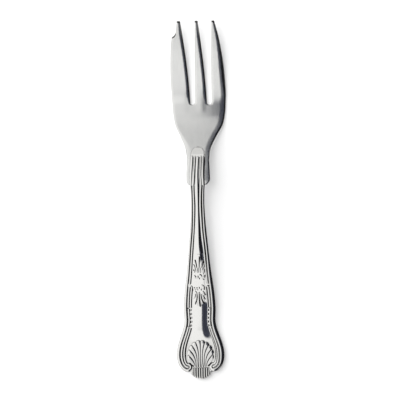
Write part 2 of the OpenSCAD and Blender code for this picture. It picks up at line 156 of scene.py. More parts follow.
def onBlank(t, s, h):
    lean = tilt(s)
    rise = np.maximum(0, middleRise(s) + h * np.cos(lean))
    return np.stack([t - middleShift, s - middleLength - h * np.sin(lean), rise], axis=-1) / perMetre


def handleHalf(s):
    s = np.asarray(s, float)
    foot = footHalf * arc(s / footLength)
    lobe = mix(lobeRoot, lobeHalf, arc(span(s, footLength, lobePlace)))
    side = mix(lobeHalf, waistHalf, ramp(span(s, lobePlace, waistPlace)))
    upTaper = smooth(blank["taperShares"], span(s, waistPlace, handleLength))
    taper = mix(stemHalf, waistHalf, upTaper)
    low = np.where(s <= footLength, foot, lobe)
    return np.where(s <= lobePlace, low, np.where(s <= waistPlace, side, taper))


# How the threads run beside the edge: all four lines narrow towards the neck
threads = {
    "rimShares": [(0, 1), (0.32, 0.93), (0.46, 0.82), (0.53, 0.7), (0.62, 0.62), (0.73, 0.66),
                  (0.87, 0.46), (0.965, 0.5), (1.048, 0.8), (1.12, 0.95)],
    "pitchShares": [(0, 1), (0.32, 0.86), (0.46, 0.94), (0.53, 0.92), (0.62, 0.95), (0.73, 0.82),
                    (0.87, 1.02), (0.965, 0.88), (1.048, 0.95), (1.12, 0.8)],
    "rimPitch": 1.5, "pitch": 1.12, "groove": 0.07, "upperGroove": 0.17, "upper": (43, 8),
    "panelLanes": 2.08, "stemLanes": 1.05, "laneChange": 3,
    "bandPlace": 39.5, "hairpinLegs": 8.7, "islandStart": 21.5, "islandGap": 0.6, "islandTail": 0.3,
    "curlShare": 0.95, "leastEnd": 0.12,
}
hairpinTop = threads["bandPlace"] - threads["pitch"]
beadTop = hairpinTop - threads["hairpinLegs"]
panelInset = threads["rimPitch"] + threads["pitch"] * threads["panelLanes"]


def rimPitch(s):
    return threads["rimPitch"] * smooth(threads["rimShares"], span(s, lobePlace, handleLength))


def threadPitch(s):
    return threads["pitch"] * smooth(threads["pitchShares"], span(s, lobePlace, handleLength))


def grooveWidth(s):
    return float(mix(threads["groove"], threads["upperGroove"], step(s, *threads["upper"])))


def panelHalf(s):
    lanes = mix(threads["panelLanes"], threads["stemLanes"],
                ramp((s - hairpinTop) / threads["laneChange"] + 0.5))
    return handleHalf(np.maximum(s, lobePlace)) - rimPitch(s) - threadPitch(s) * lanes


def beside(s, share, lanes):
    # Places along the right side: share of the rim's pitch in from the edge, then lanes of threads.
    s = np.asarray(s, float)
    return handleHalf(np.minimum(s, handleLength)) - rimPitch(s) * share - threadPitch(s) * lanes


def roundLobe(angle, inset):
    a = np.radians(angle)
    return (lobeRoot + (lobeHalf - lobeRoot - inset) * np.cos(a),
            lobePlace + (lobePlace - footLength - inset) * np.sin(a))


settling = {"shift": 0.4, "rimShare": 0.97, "lanes": (2.6, 1.2), "middle": 1.4,
            "starts": (5, 5), "ends": (76, 8)}


def settle(t, s):
    # On the right the threads stand further in, and the rim is wider by as much.
    away = handleHalf(s) - t
    lanes, fade = settling["lanes"]
    kept = np.minimum(lanes, handleHalf(s) - settling["middle"])
    share = plateau(away, (0, settling["rimShare"] * rimPitch(s)), (kept, fade))
    along = plateau(s, settling["starts"], settling["ends"])
    return np.where(t > 0, t - settling["shift"] * share * along, t)


# Looks: every finish is built from nodes on Object coordinates


class Wiring:
    # A node tree with short calls for the nodes that are used again and again.

    def __init__(self, tree):
        self.tree = tree

    def node(self, kind, values=None, **settings):
        # Each value is a constant for its socket, or another node's output.
        made = self.tree.nodes.new(kind)
        for key, value in settings.items():
            setattr(made, key, value)
        for key, value in (values or {}).items():
            if isinstance(value, bpy.types.NodeSocket):
                self.tree.links.new(value, made.inputs[key])
            else:
                made.inputs[key].default_value = value
        return made

    def calc(self, operation, a, b=0.0):
        return self.node("ShaderNodeMath", {0: a, 1: b}, operation=operation).outputs[0]


class Shade(Wiring):
    # The tree of a material or of the world.

    def __init__(self, name, world=None):
        self.owner = world or bpy.data.materials.new(name)
        self.owner.use_nodes = True
        super().__init__(self.owner.node_tree)
        self.tree.nodes.clear()

    def between(self, value, low, high):
        return self.node("ShaderNodeMapRange", {"Value": value, "From Min": low, "From Max": high},
                         interpolation_type="SMOOTHSTEP").outputs["Result"]

    def spread(self, value, low, high):
        return self.node("ShaderNodeMapRange",
                         {"Value": value, "To Min": low, "To Max": high}).outputs["Result"]

    def crest(self):
        return self.node("ShaderNodeAttribute", attribute_name="crest").outputs["Fac"]

    def noise(self, scale, detail, stretch=(1, 1, 1)):
        place = self.node("ShaderNodeTexCoord").outputs["Object"]
        mapped = self.node("ShaderNodeMapping", {"Vector": place, "Scale": stretch}).outputs["Vector"]
        values = {"Vector": mapped, "Scale": scale, "Detail": detail}
        return self.node("ShaderNodeTexNoise", values).outputs["Fac"]

    def blend(self, factor, a, b):
        a, b = (c if isinstance(c, bpy.types.NodeSocket) else (*c, 1) for c in (a, b))
        return self.node("ShaderNodeMix", {"Factor": factor, 6: a, 7: b}, data_type="RGBA").outputs[2]

    def steel(self, colour, rough, strength, height):
        bump = self.node("ShaderNodeBump", {"Strength": strength, "Distance": finish["bumpDistance"],
                                            "Height": height})
        face = self.node("ShaderNodeBsdfPrincipled", {
            "Base Color": colour, "Metallic": 1.0, "Roughness": rough, "Normal": bump.outputs["Normal"]})
        self.node("ShaderNodeOutputMaterial", {"Surface": face.outputs["BSDF"]})
        return self.owner


finish = {
    "satin": (0.86, 0.86, 0.85), "satinDull": (0.80, 0.80, 0.795), "polished": (0.88, 0.875, 0.86),
    "shadedFlute": (0.74, 0.735, 0.72), "patinaAndShade": (0.026, 0.022, 0.02), "bumpDistance": 0.0001,
    "satinRoughness": (0.14, 0.21), "brush": (900, 3, (1, 0.03, 1)), "brushBump": 0.05,
    "cloud": (60, 4), "cloudRange": (0.3, 0.7),
    "polishedRoughness": (0.07, 0.13), "grooveRoughness": 0.55, "wear": (700, 4), "wearShare": 0.12,
    "wearAndShadeRange": (0.04, 0.3), "wearBump": 0.012,
}


def satinSteel():
    shade = Shade("satinSteel")
    streak = shade.noise(*finish["brush"])
    dull = shade.between(shade.noise(*finish["cloud"]), *finish["cloudRange"])
    colour = shade.blend(dull, finish["satinDull"], finish["satin"])
    # the cut edges and the tines' ends, where the crest share is low, are painted dark: painted shade for
    # their dark reflection
    colour = shade.blend(shade.crest(), finish["patinaAndShade"], colour)
    rough = shade.spread(streak, *finish["satinRoughness"])
    return shade.steel(colour, rough, finish["brushBump"], streak)


def struckSteel(name, crestColour):
    # Clean on the crests, and dull and dark in the grooves; the dark is patina with painted shade.
    shade = Shade(name)
    wear = shade.noise(*finish["wear"])
    worn = shade.calc("MULTIPLY", shade.calc("SUBTRACT", wear, 0.5), finish["wearShare"])
    litAndClean = shade.between(shade.calc("ADD", shade.crest(), worn), *finish["wearAndShadeRange"])
    colour = shade.blend(litAndClean, finish["patinaAndShade"], crestColour)
    fine = shade.spread(wear, *finish["polishedRoughness"])
    rough = shade.node("ShaderNodeMix", {0: litAndClean, 2: finish["grooveRoughness"], 3: fine},
                       data_type="FLOAT").outputs[0]
    return shade.steel(colour, rough, finish["wearBump"], wear)


print("mixing the finishes")
# the flutes take the polished steel painted darker: painted shade
steels = {"satin_head_steel": satinSteel(),
          "polished_handle_steel": struckSteel("polishedSteel", finish["polished"]),
          "polished_relief_steel": struckSteel("reliefSteel", finish["polished"]),
          "shaded_flute_steel": struckSteel("shadedFluteSteel", finish["shadedFlute"])}
slotOf = {row["node"]: row["material_slot"] for row in frame["record"]["subparts"]}


# Meshes: each piece stands for the node whose name it carries


def addObject(name, data):
    made = bpy.data.objects.new(name, data)
    bpy.context.scene.collection.objects.link(made)
    return made


def dress(name, node, points, faces, crest, creaseAngle=50):
    mesh = bpy.data.meshes.new(name)
    mesh.from_pydata(points.tolist(), [], faces)
    mesh.validate()
    slot = slotOf[node]
    mesh.materials.append(steels[slot])
    layer = mesh.attributes.new("crest", "FLOAT", "POINT")
    layer.data.foreach_set("value", np.asarray(crest, np.float32))
    mesh.polygons.foreach_set("use_smooth", [True] * len(mesh.polygons))
    mesh.set_sharp_from_angle(angle=math.radians(creaseAngle))
    piece = addObject(name, mesh)
    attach(piece, "root")
    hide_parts(node)


# A pressed edge: its slopes, the share of each part's width at which it gets a ring of points, and
# the clearances between points in steps of the grid. An edge turned no further than roughTurn is
# left as it was cut, and is painted dark for the first width of cutDark, fading over the second:
# painted shade standing in for the dark reflection of a cut face.
edge = {
    "bevelSlopes": (0.075, 0.15), "turnSlopes": (0.44, 0.92), "steepest": 0.85,
    "turnShares": (0.04, 0.2, 0.42, 0.7, 1), "bevelShares": (0.14, 0.42, 0.72, 1),
    "ringSlack": 0.012, "rowShare": 0.87, "gridClear": 1.04, "lineClear": 0.4, "cutClear": 0.22,
    "group": 1500, "roughTurn": 0.081, "cutDark": (0.16, 0.2),
}


def edgeDrop(away, bevel, turn):
    # How far the front falls towards an edge: a shallow bevel first, then the turned edge itself.
    inner = np.maximum(0, bevel + turn - np.maximum(away, turn))
    outer = np.maximum(0, turn - away)
    low, high = (slope * np.minimum(1, edge["steepest"] / bevel) for slope in edge["bevelSlopes"])
    shallow = low * inner + (high - low) * inner ** 2 / (2 * bevel)
    low, high = edge["turnSlopes"]
    return shallow + low * outer + (high - low) * outer ** 2 / (2 * turn)


def overStretches(points, outline, take):
    # What take makes of the distances from each point to each stretch of a closed outline.
    run = np.roll(outline, -1, axis=0) - outline
    length2 = np.maximum((run ** 2).sum(1), 1e-12)
    taken = []
    for low in range(0, len(points), edge["group"]):
        away = points[low:low + edge["group"], None, :] - outline[None]
        u = np.clip((away * run[None]).sum(2) / length2, 0, 1)
        taken.append(take(np.sqrt(((away - run[None] * u[..., None]) ** 2).sum(2))))
    return np.concatenate(taken)


def insideOf(points, outline):
    x, y = points[:, :1], points[:, 1:]
    x1, y1 = outline[:, 0], outline[:, 1]
    x2, y2 = np.roll(x1, -1), np.roll(y1, -1)
    crosses = (y1 > y) != (y2 > y)
    with np.errstate(divide="ignore", invalid="ignore"):
        at = x1 + (y - y1) * (x2 - x1) / (y2 - y1)
    return (crosses & (x < at)).sum(1) % 2 == 1


def gridInside(outline, spacing):
    # Rows of places inside an outline, every other row moved by half a step.
    low, high = outline.min(0), outline.max(0)
    rows = []
    for k, row in enumerate(np.arange(low[1], high[1], spacing * edge["rowShare"])):
        across = np.arange(low[0] + spacing / 2 * (k % 2), high[0], spacing)
        rows.append(np.stack([across, np.full(len(across), row)], 1))
    grid = np.concatenate(rows)
    return grid[insideOf(grid, outline)]


def cutMarks(left, right, leftDepths, rightDepths, flatLeft, flatRight, spacing):
    # Places along a cut: at the rings' depths over both edges, and evenly over the flat between.
    marks = [left + depth for depth in leftDepths] + [right - depth for depth in rightDepths]
    marks = [m for m in marks if left + 0.01 < m < right - 0.01]
    if flatRight > flatLeft:
        marks = [m for m in marks if m <= flatLeft or m >= flatRight]
        marks += list(np.linspace(flatLeft, flatRight, int((flatRight - flatLeft) / spacing) + 2)[1:-1])
    return np.unique(np.round(marks, 4))


def closeUp(mine, front, back):
    # A closed piece from its triangles: the front, the back turned round, and walls where they end.
    # Where front and back meet they share their points; the back's own points are listed last.
    used = np.unique(mine)
    local = {int(v): k for k, v in enumerate(used)}
    lower = [v for v in used.tolist() if abs(front[v] - back[v]) >= 1e-4]
    under = {**local, **{v: len(used) + k for k, v in enumerate(lower)}}
    triangles = mine.tolist()
    faces = [[local[v] for v in tri] for tri in triangles]
    faces += [[under[v] for v in reversed(tri)] for tri in triangles]
    sides = dict.fromkeys(side for tri in triangles for side in zip(tri, tri[1:] + tri[:1]))
    for a, b in sides:
        wall = list(dict.fromkeys([local[b], local[a], under[a], under[b]]))
        if (b, a) not in sides and len(wall) > 2:
            faces.append(wall)
    return faces, used, lower


def press(outline, bevel, turn, cuts, spacing, surfaces, regionOf, lines=(), aside=None):
    # Sheet pressed from an outline, shaped all round its edge, and cut across into closed pieces.
    # bevel and turn are the widths of the edge's two parts at each point of the outline, surfaces
    # gives the front and the back from places, the edge's fall and the distance to it, lines are
    # kept sharp and aside moves the finished places across.
    ahead = np.roll(outline, -1, axis=0) - np.roll(outline, 1, axis=0)
    inward = np.stack([-ahead[:, 1], ahead[:, 0]], 1) / np.linalg.norm(ahead, axis=1)[:, None]
    after = np.minimum(bevel, np.roll(bevel, -1)), np.minimum(turn, np.roll(turn, -1))

    def fall(points):
        return overStretches(points, outline, lambda away: edgeDrop(away, *after).max(1))

    depths = [turn * share for share in edge["turnShares"]]
    depths += [turn + bevel * share for share in edge["bevelShares"]]
    rings = []
    for depth in depths:
        ring = outline + inward * depth[:, None]
        rings.append(ring[fall(ring) < edgeDrop(depth, bevel, turn) + edge["ringSlack"]])
    grid = gridInside(outline, spacing)
    flatAt = edge["gridClear"] * (after[0] + after[1])
    grid = grid[overStretches(grid, outline, lambda away: (away > flatAt).all(1))]
    for line in lines:
        away = overStretches(grid, line, lambda away: away[:, :-1].min(1))
        grid = grid[away > spacing * edge["lineClear"]]
    parts = [*rings, grid]
    for cut in cuts:
        parts = [part[abs(part[:, 1] - cut) > spacing * edge["cutClear"]] for part in parts]
    parts = [outline, *parts]
    count = len(outline)
    total = sum(len(part) for part in parts)
    edges = [(i, (i + 1) % count) for i in range(count)]
    for cut in cuts:
        on = sorted((i for i in range(count) if abs(outline[i, 1] - cut) < 1e-6),
                    key=lambda i: outline[i, 0])
        for a, b in zip(on[:-1], on[1:]):
            if not insideOf((outline[a] + outline[b])[None] / 2, outline)[0]:
                continue
            left, right = outline[a, 0], outline[b, 0]
            marks = cutMarks(left, right, [depth[a] for depth in depths], [depth[b] for depth in depths],
                             left + turn[a] + bevel[a], right - turn[b] - bevel[b], spacing)
            chain = [a, *range(total, total + len(marks)), b]
            edges += list(zip(chain[:-1], chain[1:]))
            parts.append(np.stack([marks, np.full(len(marks), cut)], 1))
            total += len(marks)
    for line in lines:
        edges += [(total + i, total + i + 1) for i in range(len(line) - 1)]
        parts.append(line)
        total += len(line)
    made = delaunay_2d_cdt([Vector(p) for p in np.concatenate(parts)], edges, [], 1, 1e-5)
    flat = np.array([(p.x, p.y) for p in made[0]])
    nearest = overStretches(flat, outline, lambda away: away.min(1))
    closest = overStretches(flat, outline, lambda away: away.argmin(1))
    front, back = surfaces(flat[:, 0], flat[:, 1], fall(flat), nearest)
    # painted shade: edges left as cut are painted dark along the outline
    shine = np.where(turn[closest] <= edge["roughTurn"], step(nearest, *edge["cutDark"]), 1.0)
    triangles = np.array([f for f in made[2] if len(f) == 3])
    first, second, third = (flat[triangles[:, k]] for k in range(3))
    turned = np.cross(second - first, third - first) < 0
    triangles[turned] = triangles[turned][:, ::-1]
    regions = np.array(regionOf(*flat[triangles].mean(1).T))
    pieces = {}
    for region in sorted(set(regions.tolist())):
        faces, used, lower = closeUp(triangles[regions == region], front, back)
        both = np.concatenate([used, lower])
        t, s = flat[both].T
        h = np.concatenate([front[used], back[lower]])
        pieces[region] = (onBlank(aside(t, s) if aside else t, s, h), faces, t, s, shine[both])
    return pieces


# Edges are given as the widths of the bevel and of the turned edge
head = {
    "neckLeft": 4.05, "neckRight": 5.2, "shoulderLeft": 0.5, "shoulderRight": 0.15,
    "lugStart": 1.12, "lugTurn": 4, "lugFlow": (1.6, 0.6),
    "palmLeft": 9.7, "palmRight": 12.54, "slotWidth": 2, "middleWidth": 4.96, "middlePlace": 2.22,
    "tipWidths": (1.3, 1.2, 1.1), "tipPlaces": (-6.55, 0.87, 7.8), "tipEase": 0.27, "tipDark": 0.5,
    "cuttingBend": 1.6, "middleBend": 1.6, "middleTaper": 1.5, "outerBend": 2,
    "cuttingSwell": 0.6, "outerSwell": 1.4,
    "notchPlace": 6.8, "notchLength": 3, "notchDepth": 1.75, "notchDark": 1.9, "besideNotch": 0.45,
    "notchCrowd": 1.6,
    "leftEdge": (0.3, 0.4), "rightEdge": (0.7, 0.65), "outerEdge": (1.1, 1.15), "palmEdge": (1.6, 0.6),
    "lugEdge": (1.9, 0.4), "rootEdge": (0.15, 0.2), "cutEdge": (0.25, 0.08), "backEase": 0.3,
    "edgeChange": 12, "rootShare": 0.5, "rootReach": 0.15, "rootWidths": (7, 5.6),
    "cuttingRoom": 0.6, "middleRooms": (0.6, 1.3), "outerRooms": (0.25, 0.62),
    "crown": (0.1, 0.34), "crownStart": 8, "crownMiddle": 1.2, "crownReach": 11,
    "crownRise": (104.5, 7), "crownFall": (114.5, 5), "thinnest": 0.12,
    "dip": 0.05, "dipAcross": (-3.9, 3), "dipReturn": (0.6, 3.5), "dipStarts": (-4.5, 3),
    "dipEnds": (2.5, 6), "step": 0.32, "spacing": 0.6,
    "palmShares": [(0, 0), (0.195, 0.1), (0.411, 0.43), (0.628, 0.805), (0.844, 0.96), (1, 1)],
    "outerShares": [(0, 0), (0.15, 0.56), (0.3, 0.83), (0.45, 1), (0.6, 0.98), (0.8, 0.7), (1, 0)],
    "cuttingShares": [(0, 0), (0.14, 0.5), (0.28, 1), (0.5, 0.95), (0.63, 0.7), (0.74, 0.3),
                      (0.8, -0.3), (1, -1)],
}
slotHalf = head["slotWidth"] / 2
slotPlaces = (head["middlePlace"] - head["middleWidth"] / 2 - slotHalf,
              head["middlePlace"] + head["middleWidth"] / 2 + slotHalf)
tipLine = forkLength - head["tipEase"]


def headReach(s, neck, out, palm):
    u = (s - handleLength) / blank["neckLength"]
    flow, late = head["lugFlow"]
    lug = mix(stemHalf * head["lugStart"], neck + out * (1 - ramp(u * flow - late)),
              arc(u * head["lugTurn"]))
    widening = smooth(head["palmShares"], (s - neckWaist) / blank["palmLength"])
    return np.where(s < neckWaist, lug, mix(neck, palm, widening))


def headOutline():
    # The head's outline, from the left lug round the tines to the right lug, with its edge widths.
    corner = forkLength - head["notchPlace"]
    lugTurn = np.radians(np.arange(0, 91, 6))
    lugMarks = handleLength + blank["neckLength"] * (1 - np.cos(lugTurn)) / 4
    neckMarks = np.linspace(lugMarks[-1], neckWaist, 24)[1:]
    palmMarks = np.linspace(neckWaist, slotRoot, 74)[1:]
    sideMarks = np.concatenate([lugMarks, neckMarks, palmMarks])
    tine = np.linspace(slotRoot, tipLine, int(blank["tineLength"] / head["step"]))[1:]
    upTine = tine[tine > slotRoot + slotHalf]
    down = upTine[::-1]
    rounds = np.radians(np.arange(180, 361, 9))
    (cuttingTip, middleTip, outerTip), (cuttingWidth, middleWidth, outerWidth) = (
        head["tipPlaces"], head["tipWidths"])
    runs = []

    def add(t, s, edges, most=9.0):
        # most is the widest that both parts of the edge may be together at each place.
        bevel, turn = (np.broadcast_to(np.asarray(part, float), np.shape(s)) for part in edges)
        fit = np.minimum(1, most / (bevel + turn))
        runs.append(np.stack([t, s, bevel * fit, turn * fit], 1))

    def along(s):
        return (s - slotRoot) / blank["tineLength"]

    def change(first, second, u):
        return [mix(a, b, ramp(u)) for a, b in zip(first, second)]

    def neckSide(hand, edges):
        reach = headReach(sideMarks, *(head[part + hand] for part in ("neck", "shoulder", "palm")))
        return reach, change(head["lugEdge"], edges, (sideMarks - neckWaist) / head["edgeChange"])

    def besideSlot(u):
        share = mix(head["rootShare"], 1, ramp(u / head["rootReach"]))
        return [part * share for part in head["rightEdge"]]

    def tipEnd(place, width):
        t = np.linspace(place - width / 2, place + width / 2, 7)[1:-1]
        add(t, np.full(len(t), tipLine), head["cutEdge"])

    def slot(centre):
        turned = 2 * (rounds - math.pi) / math.pi
        narrowed = [part * head["rootShare"] for part in head["rightEdge"]]
        falling = change(narrowed, head["rootEdge"], turned)
        rising = change(head["rootEdge"], head["leftEdge"], turned - 1)
        add(centre + slotHalf * np.cos(rounds), slotRoot + slotHalf * (1 + np.sin(rounds)),
            [np.where(turned < 1, a, b) for a, b in zip(falling, rising)])

    reach, edges = neckSide("Left", head["leftEdge"])
    add(-reach, sideMarks, edges)
    # the cutting tine's outer edge, its notch and its tip
    before = np.append(tine[tine < corner - head["step"] / 2], corner)
    swell = head["palmLeft"] + head["cuttingSwell"] * smooth(head["cuttingShares"], along(before))
    add(-swell, before, head["leftEdge"])
    notch = corner + head["notchLength"] * np.linspace(0, 1, 26)[1:] ** head["notchCrowd"]
    turnWidth = np.where(notch - corner < head["notchDark"], head["cutEdge"][1], head["leftEdge"][1])
    add(-swell[-1] + head["notchDepth"] * arc((notch - corner) / head["notchLength"]), notch,
        (head["cutEdge"][0], turnWidth), head["besideNotch"])
    last = np.linspace(notch[-1], tipLine, 8)[1:]
    add(mix(-swell[-1] + head["notchDepth"], cuttingTip - cuttingWidth / 2, span(last, notch[-1], tipLine)),
        last, head["leftEdge"], head["besideNotch"])
    tipEnd(cuttingTip, cuttingWidth)
    # down beside the first slot, up the middle tine and down again
    room = head["cuttingRoom"] * mix(head["rootWidths"][0], cuttingWidth, along(down))
    add(mix(slotPlaces[0] - slotHalf, cuttingTip + cuttingWidth / 2, along(down) ** head["cuttingBend"]),
        down, besideSlot(along(down)), room)
    slot(slotPlaces[0])
    half = mix(head["middleWidth"], middleWidth, along(upTine) ** head["middleTaper"]) / 2
    centre = mix(head["middlePlace"], middleTip, along(upTine) ** head["middleBend"])
    leftRoom, rightRoom = head["middleRooms"]
    add(centre - half, upTine, head["leftEdge"], leftRoom * half)
    tipEnd(middleTip, middleWidth)
    add((centre + half)[::-1], down, besideSlot(along(down)), rightRoom * half[::-1])
    slot(slotPlaces[1])
    # up the outer tine and down its outer edge
    leftRoom, rightRoom = head["outerRooms"]
    room = mix(head["rootWidths"][1], outerWidth, along(upTine))
    add(mix(slotPlaces[1] + slotHalf, outerTip - outerWidth / 2, along(upTine) ** head["outerBend"]),
        upTine, head["leftEdge"], leftRoom * room)
    tipEnd(outerTip, outerWidth)
    u = along(tine[::-1])
    outer = mix(head["palmRight"], outerTip + outerWidth / 2, u) \
        + head["outerSwell"] * smooth(head["outerShares"], u)
    add(outer, tine[::-1], change(head["palmEdge"], head["outerEdge"], u * 3),
        rightRoom * mix(head["rootWidths"][1], outerWidth, u))
    reach, edges = neckSide("Right", head["palmEdge"])
    add(reach[::-1], sideMarks[::-1], [part[::-1] for part in edges])
    points = np.concatenate(runs)
    keep = np.linalg.norm(points[:, :2] - np.roll(points[:, :2], 1, axis=0), axis=1) > 1e-4
    points = points[keep][::-1]
    return points[:, :2], points[:, 2], points[:, 3]


def headSurfaces(t, s, fall, nearest):
    half = headThick(s) / 2
    low, high = head["crown"]
    crown = mix(low * step(s, neckWaist, head["crownStart"]), high, step(s, *head["crownRise"]))
    crown = crown * (1 - step(s, *head["crownFall"]))
    crown = crown * ((t - head["crownMiddle"]) / head["crownReach"]) ** 2
    # a shallow fold runs on below each slot from the bevel beside it
    along = plateau(s - slotRoot, head["dipStarts"], head["dipEnds"])
    folds = (plateau(t - slotPlaces[0], head["dipAcross"], head["dipReturn"])
             + step(t - slotPlaces[1], *head["dipAcross"]))
    back = -half + head["backEase"] * (1 - arc(nearest / head["backEase"]))
    return np.maximum(half - fall - crown - head["dip"] * folds * along, back + head["thinnest"]), back


def headRegion(t, s):
    tineNames = np.where(t < slotPlaces[0], "cutting_tine",
                         np.where(t < slotPlaces[1], "middle_tine", "outer_tine"))
    return np.where(s < neckWaist, "shoulders", np.where(s < slotRoot, "palm", tineNames))


print("pressing the head")
# the tines' ends are painted dark as well, as painted shade for their dark reflection
for node, (points, faces, t, s, shine) in press(
        *headOutline(), [neckWaist, slotRoot], head["spacing"], headSurfaces, headRegion).items():
    dress(node + "_pressed", node, points, faces, shine * ramp((tipLine - s) / head["tipDark"]))

handle = {
    "edge": (0.02, 0.14), "seam": 52.5, "spacing": 0.4, "land": (38.7, 39.9), "panelStart": (15.5, 5),
    "panelSlope": 0.2, "panelBend": (0.11, 1.2), "ribSlope": 0.5, "ribBend": (-0.2, 0.85),
    "bendChange": (49, 12), "level": 0.88, "levelStarts": (30.3, 2.5), "levelEnds": (47.5, 3.5),
    "shellFootHalf": 2.9, "shellFoot": 4.9, "laneEnd": 3.4, "laneStep": 0.3, "laneGap": 0.04,
    "brightEdge": 0.1, "creaseAngle": 40,
}


def handleOutline():
    footTurn, lobeTurn = (np.radians(np.arange(3, 91, gap)) for gap in (6, 4))
    lobeRise = lobePlace - footLength
    marks = np.concatenate([footLength * (1 - np.cos(footTurn)),
                            lobePlace - lobeRise * np.cos(lobeTurn),
                            np.linspace(lobePlace, plateLength, 150)[1:],
                            np.linspace(plateLength, handleLength, 70)[1:]])
    right = np.stack([handleHalf(marks), marks], 1)
    return np.concatenate([right, (right * [-1, 1])[::-1]])


def dome(t, s):
    # Rise of the panel between the threads: level in the middle, beside the threads and under the
    # ornament.
    toRib = step(s, *handle["bendChange"])
    low, high = (mix(a, b, toRib) for a, b in zip(handle["panelBend"], handle["ribBend"]))
    level = handle["level"] * plateau(s, handle["levelStarts"], handle["levelEnds"])
    slope = mix(handle["panelSlope"], handle["ribSlope"], toRib) * (1 - level)
    p = panelHalf(s)
    u = np.clip((abs(t) / p - low) / (high - low), 0, 1)
    full = slope * p * (high - low) * ((1 - u) / 2 + np.sin(2 * np.pi * u) / (4 * np.pi))
    return full * step(s, *handle["panelStart"])


def laneEdge(shift):
    # The line on the right where the panel ends and the threads' ground begins.
    gap = handle["laneStep"]
    along = np.linspace(handleLength - gap, lobePlace, 220)
    curve = [roundLobe(angle, panelInset - shift) for angle in np.arange(-6, -91, -6)]
    foot, low = handle["shellFootHalf"] + shift, curve[-1][1]
    ends = [(t, low) for t in np.arange(curve[-1][0] - gap, foot, -gap)]
    down = [(foot, s) for s in np.arange(low, handle["laneEnd"], -gap)]
    return np.array([*zip(panelHalf(along) + shift, along), *curve, *ends, *down])


def onGround(t, s):
    # True on the ground of the threads and round their curls, outside the panel and the shell's foot.
    across = np.maximum(0, abs(t) - lobeRoot) / (lobeHalf - lobeRoot - panelInset)
    along = (lobePlace - s) / (lobePlace - footLength - panelInset)
    low = (across ** 2 + along ** 2 > 1) & (abs(t) > handle["shellFootHalf"])
    onLand = (s > handle["land"][0]) & (s < handle["land"][1])
    return np.where(s < lobePlace, low, abs(t) > panelHalf(s)) & ~onLand


def handleSurfaces(t, s, fall, nearest):
    lift = np.where(s < handle["seam"], dome(t, s), 0) * (nearest > sum(handle["edge"]))
    side = handleThick(s) / 2 - fall + lift
    return side, -side


def handleRegion(t, s):
    return np.where(s < plateLength, "handle_plate", "stem")


print("pressing the handle")
handleLine = handleOutline()
handleEdge = [np.full(len(handleLine), width) for width in handle["edge"]]
laneLines = [laneEdge(shift) * (hand, 1)
             for shift in (-handle["laneGap"], handle["laneGap"]) for hand in (-1, 1)]
for node, (points, faces, t, s, _) in press(
        handleLine, *handleEdge, [plateLength], handle["spacing"], handleSurfaces,
        handleRegion, laneLines, settle).items():
    beadLane = (s > threads["islandStart"]) & (s < beadTop) & (abs(t) < beside(s, 1, 1))
    besideFoot = (s < handle["shellFoot"]) & (abs(t) < footHalf)
    inland = handleHalf(s) - abs(t) > handle["brightEdge"]
    # the threads' ground is painted dark, patina with painted shade; the bead lane, the ground beside the
    # shell's foot and a thin band along the edge stay bright
    dark = onGround(t, s) & inland & ~beadLane & ~besideFoot
    dress(node + "_pressed", node, points, faces, np.where(dark, 0.0, 1.0), handle["creaseAngle"])


# Struck relief: paths on the flat face, raised into ridges and then laid on the blank


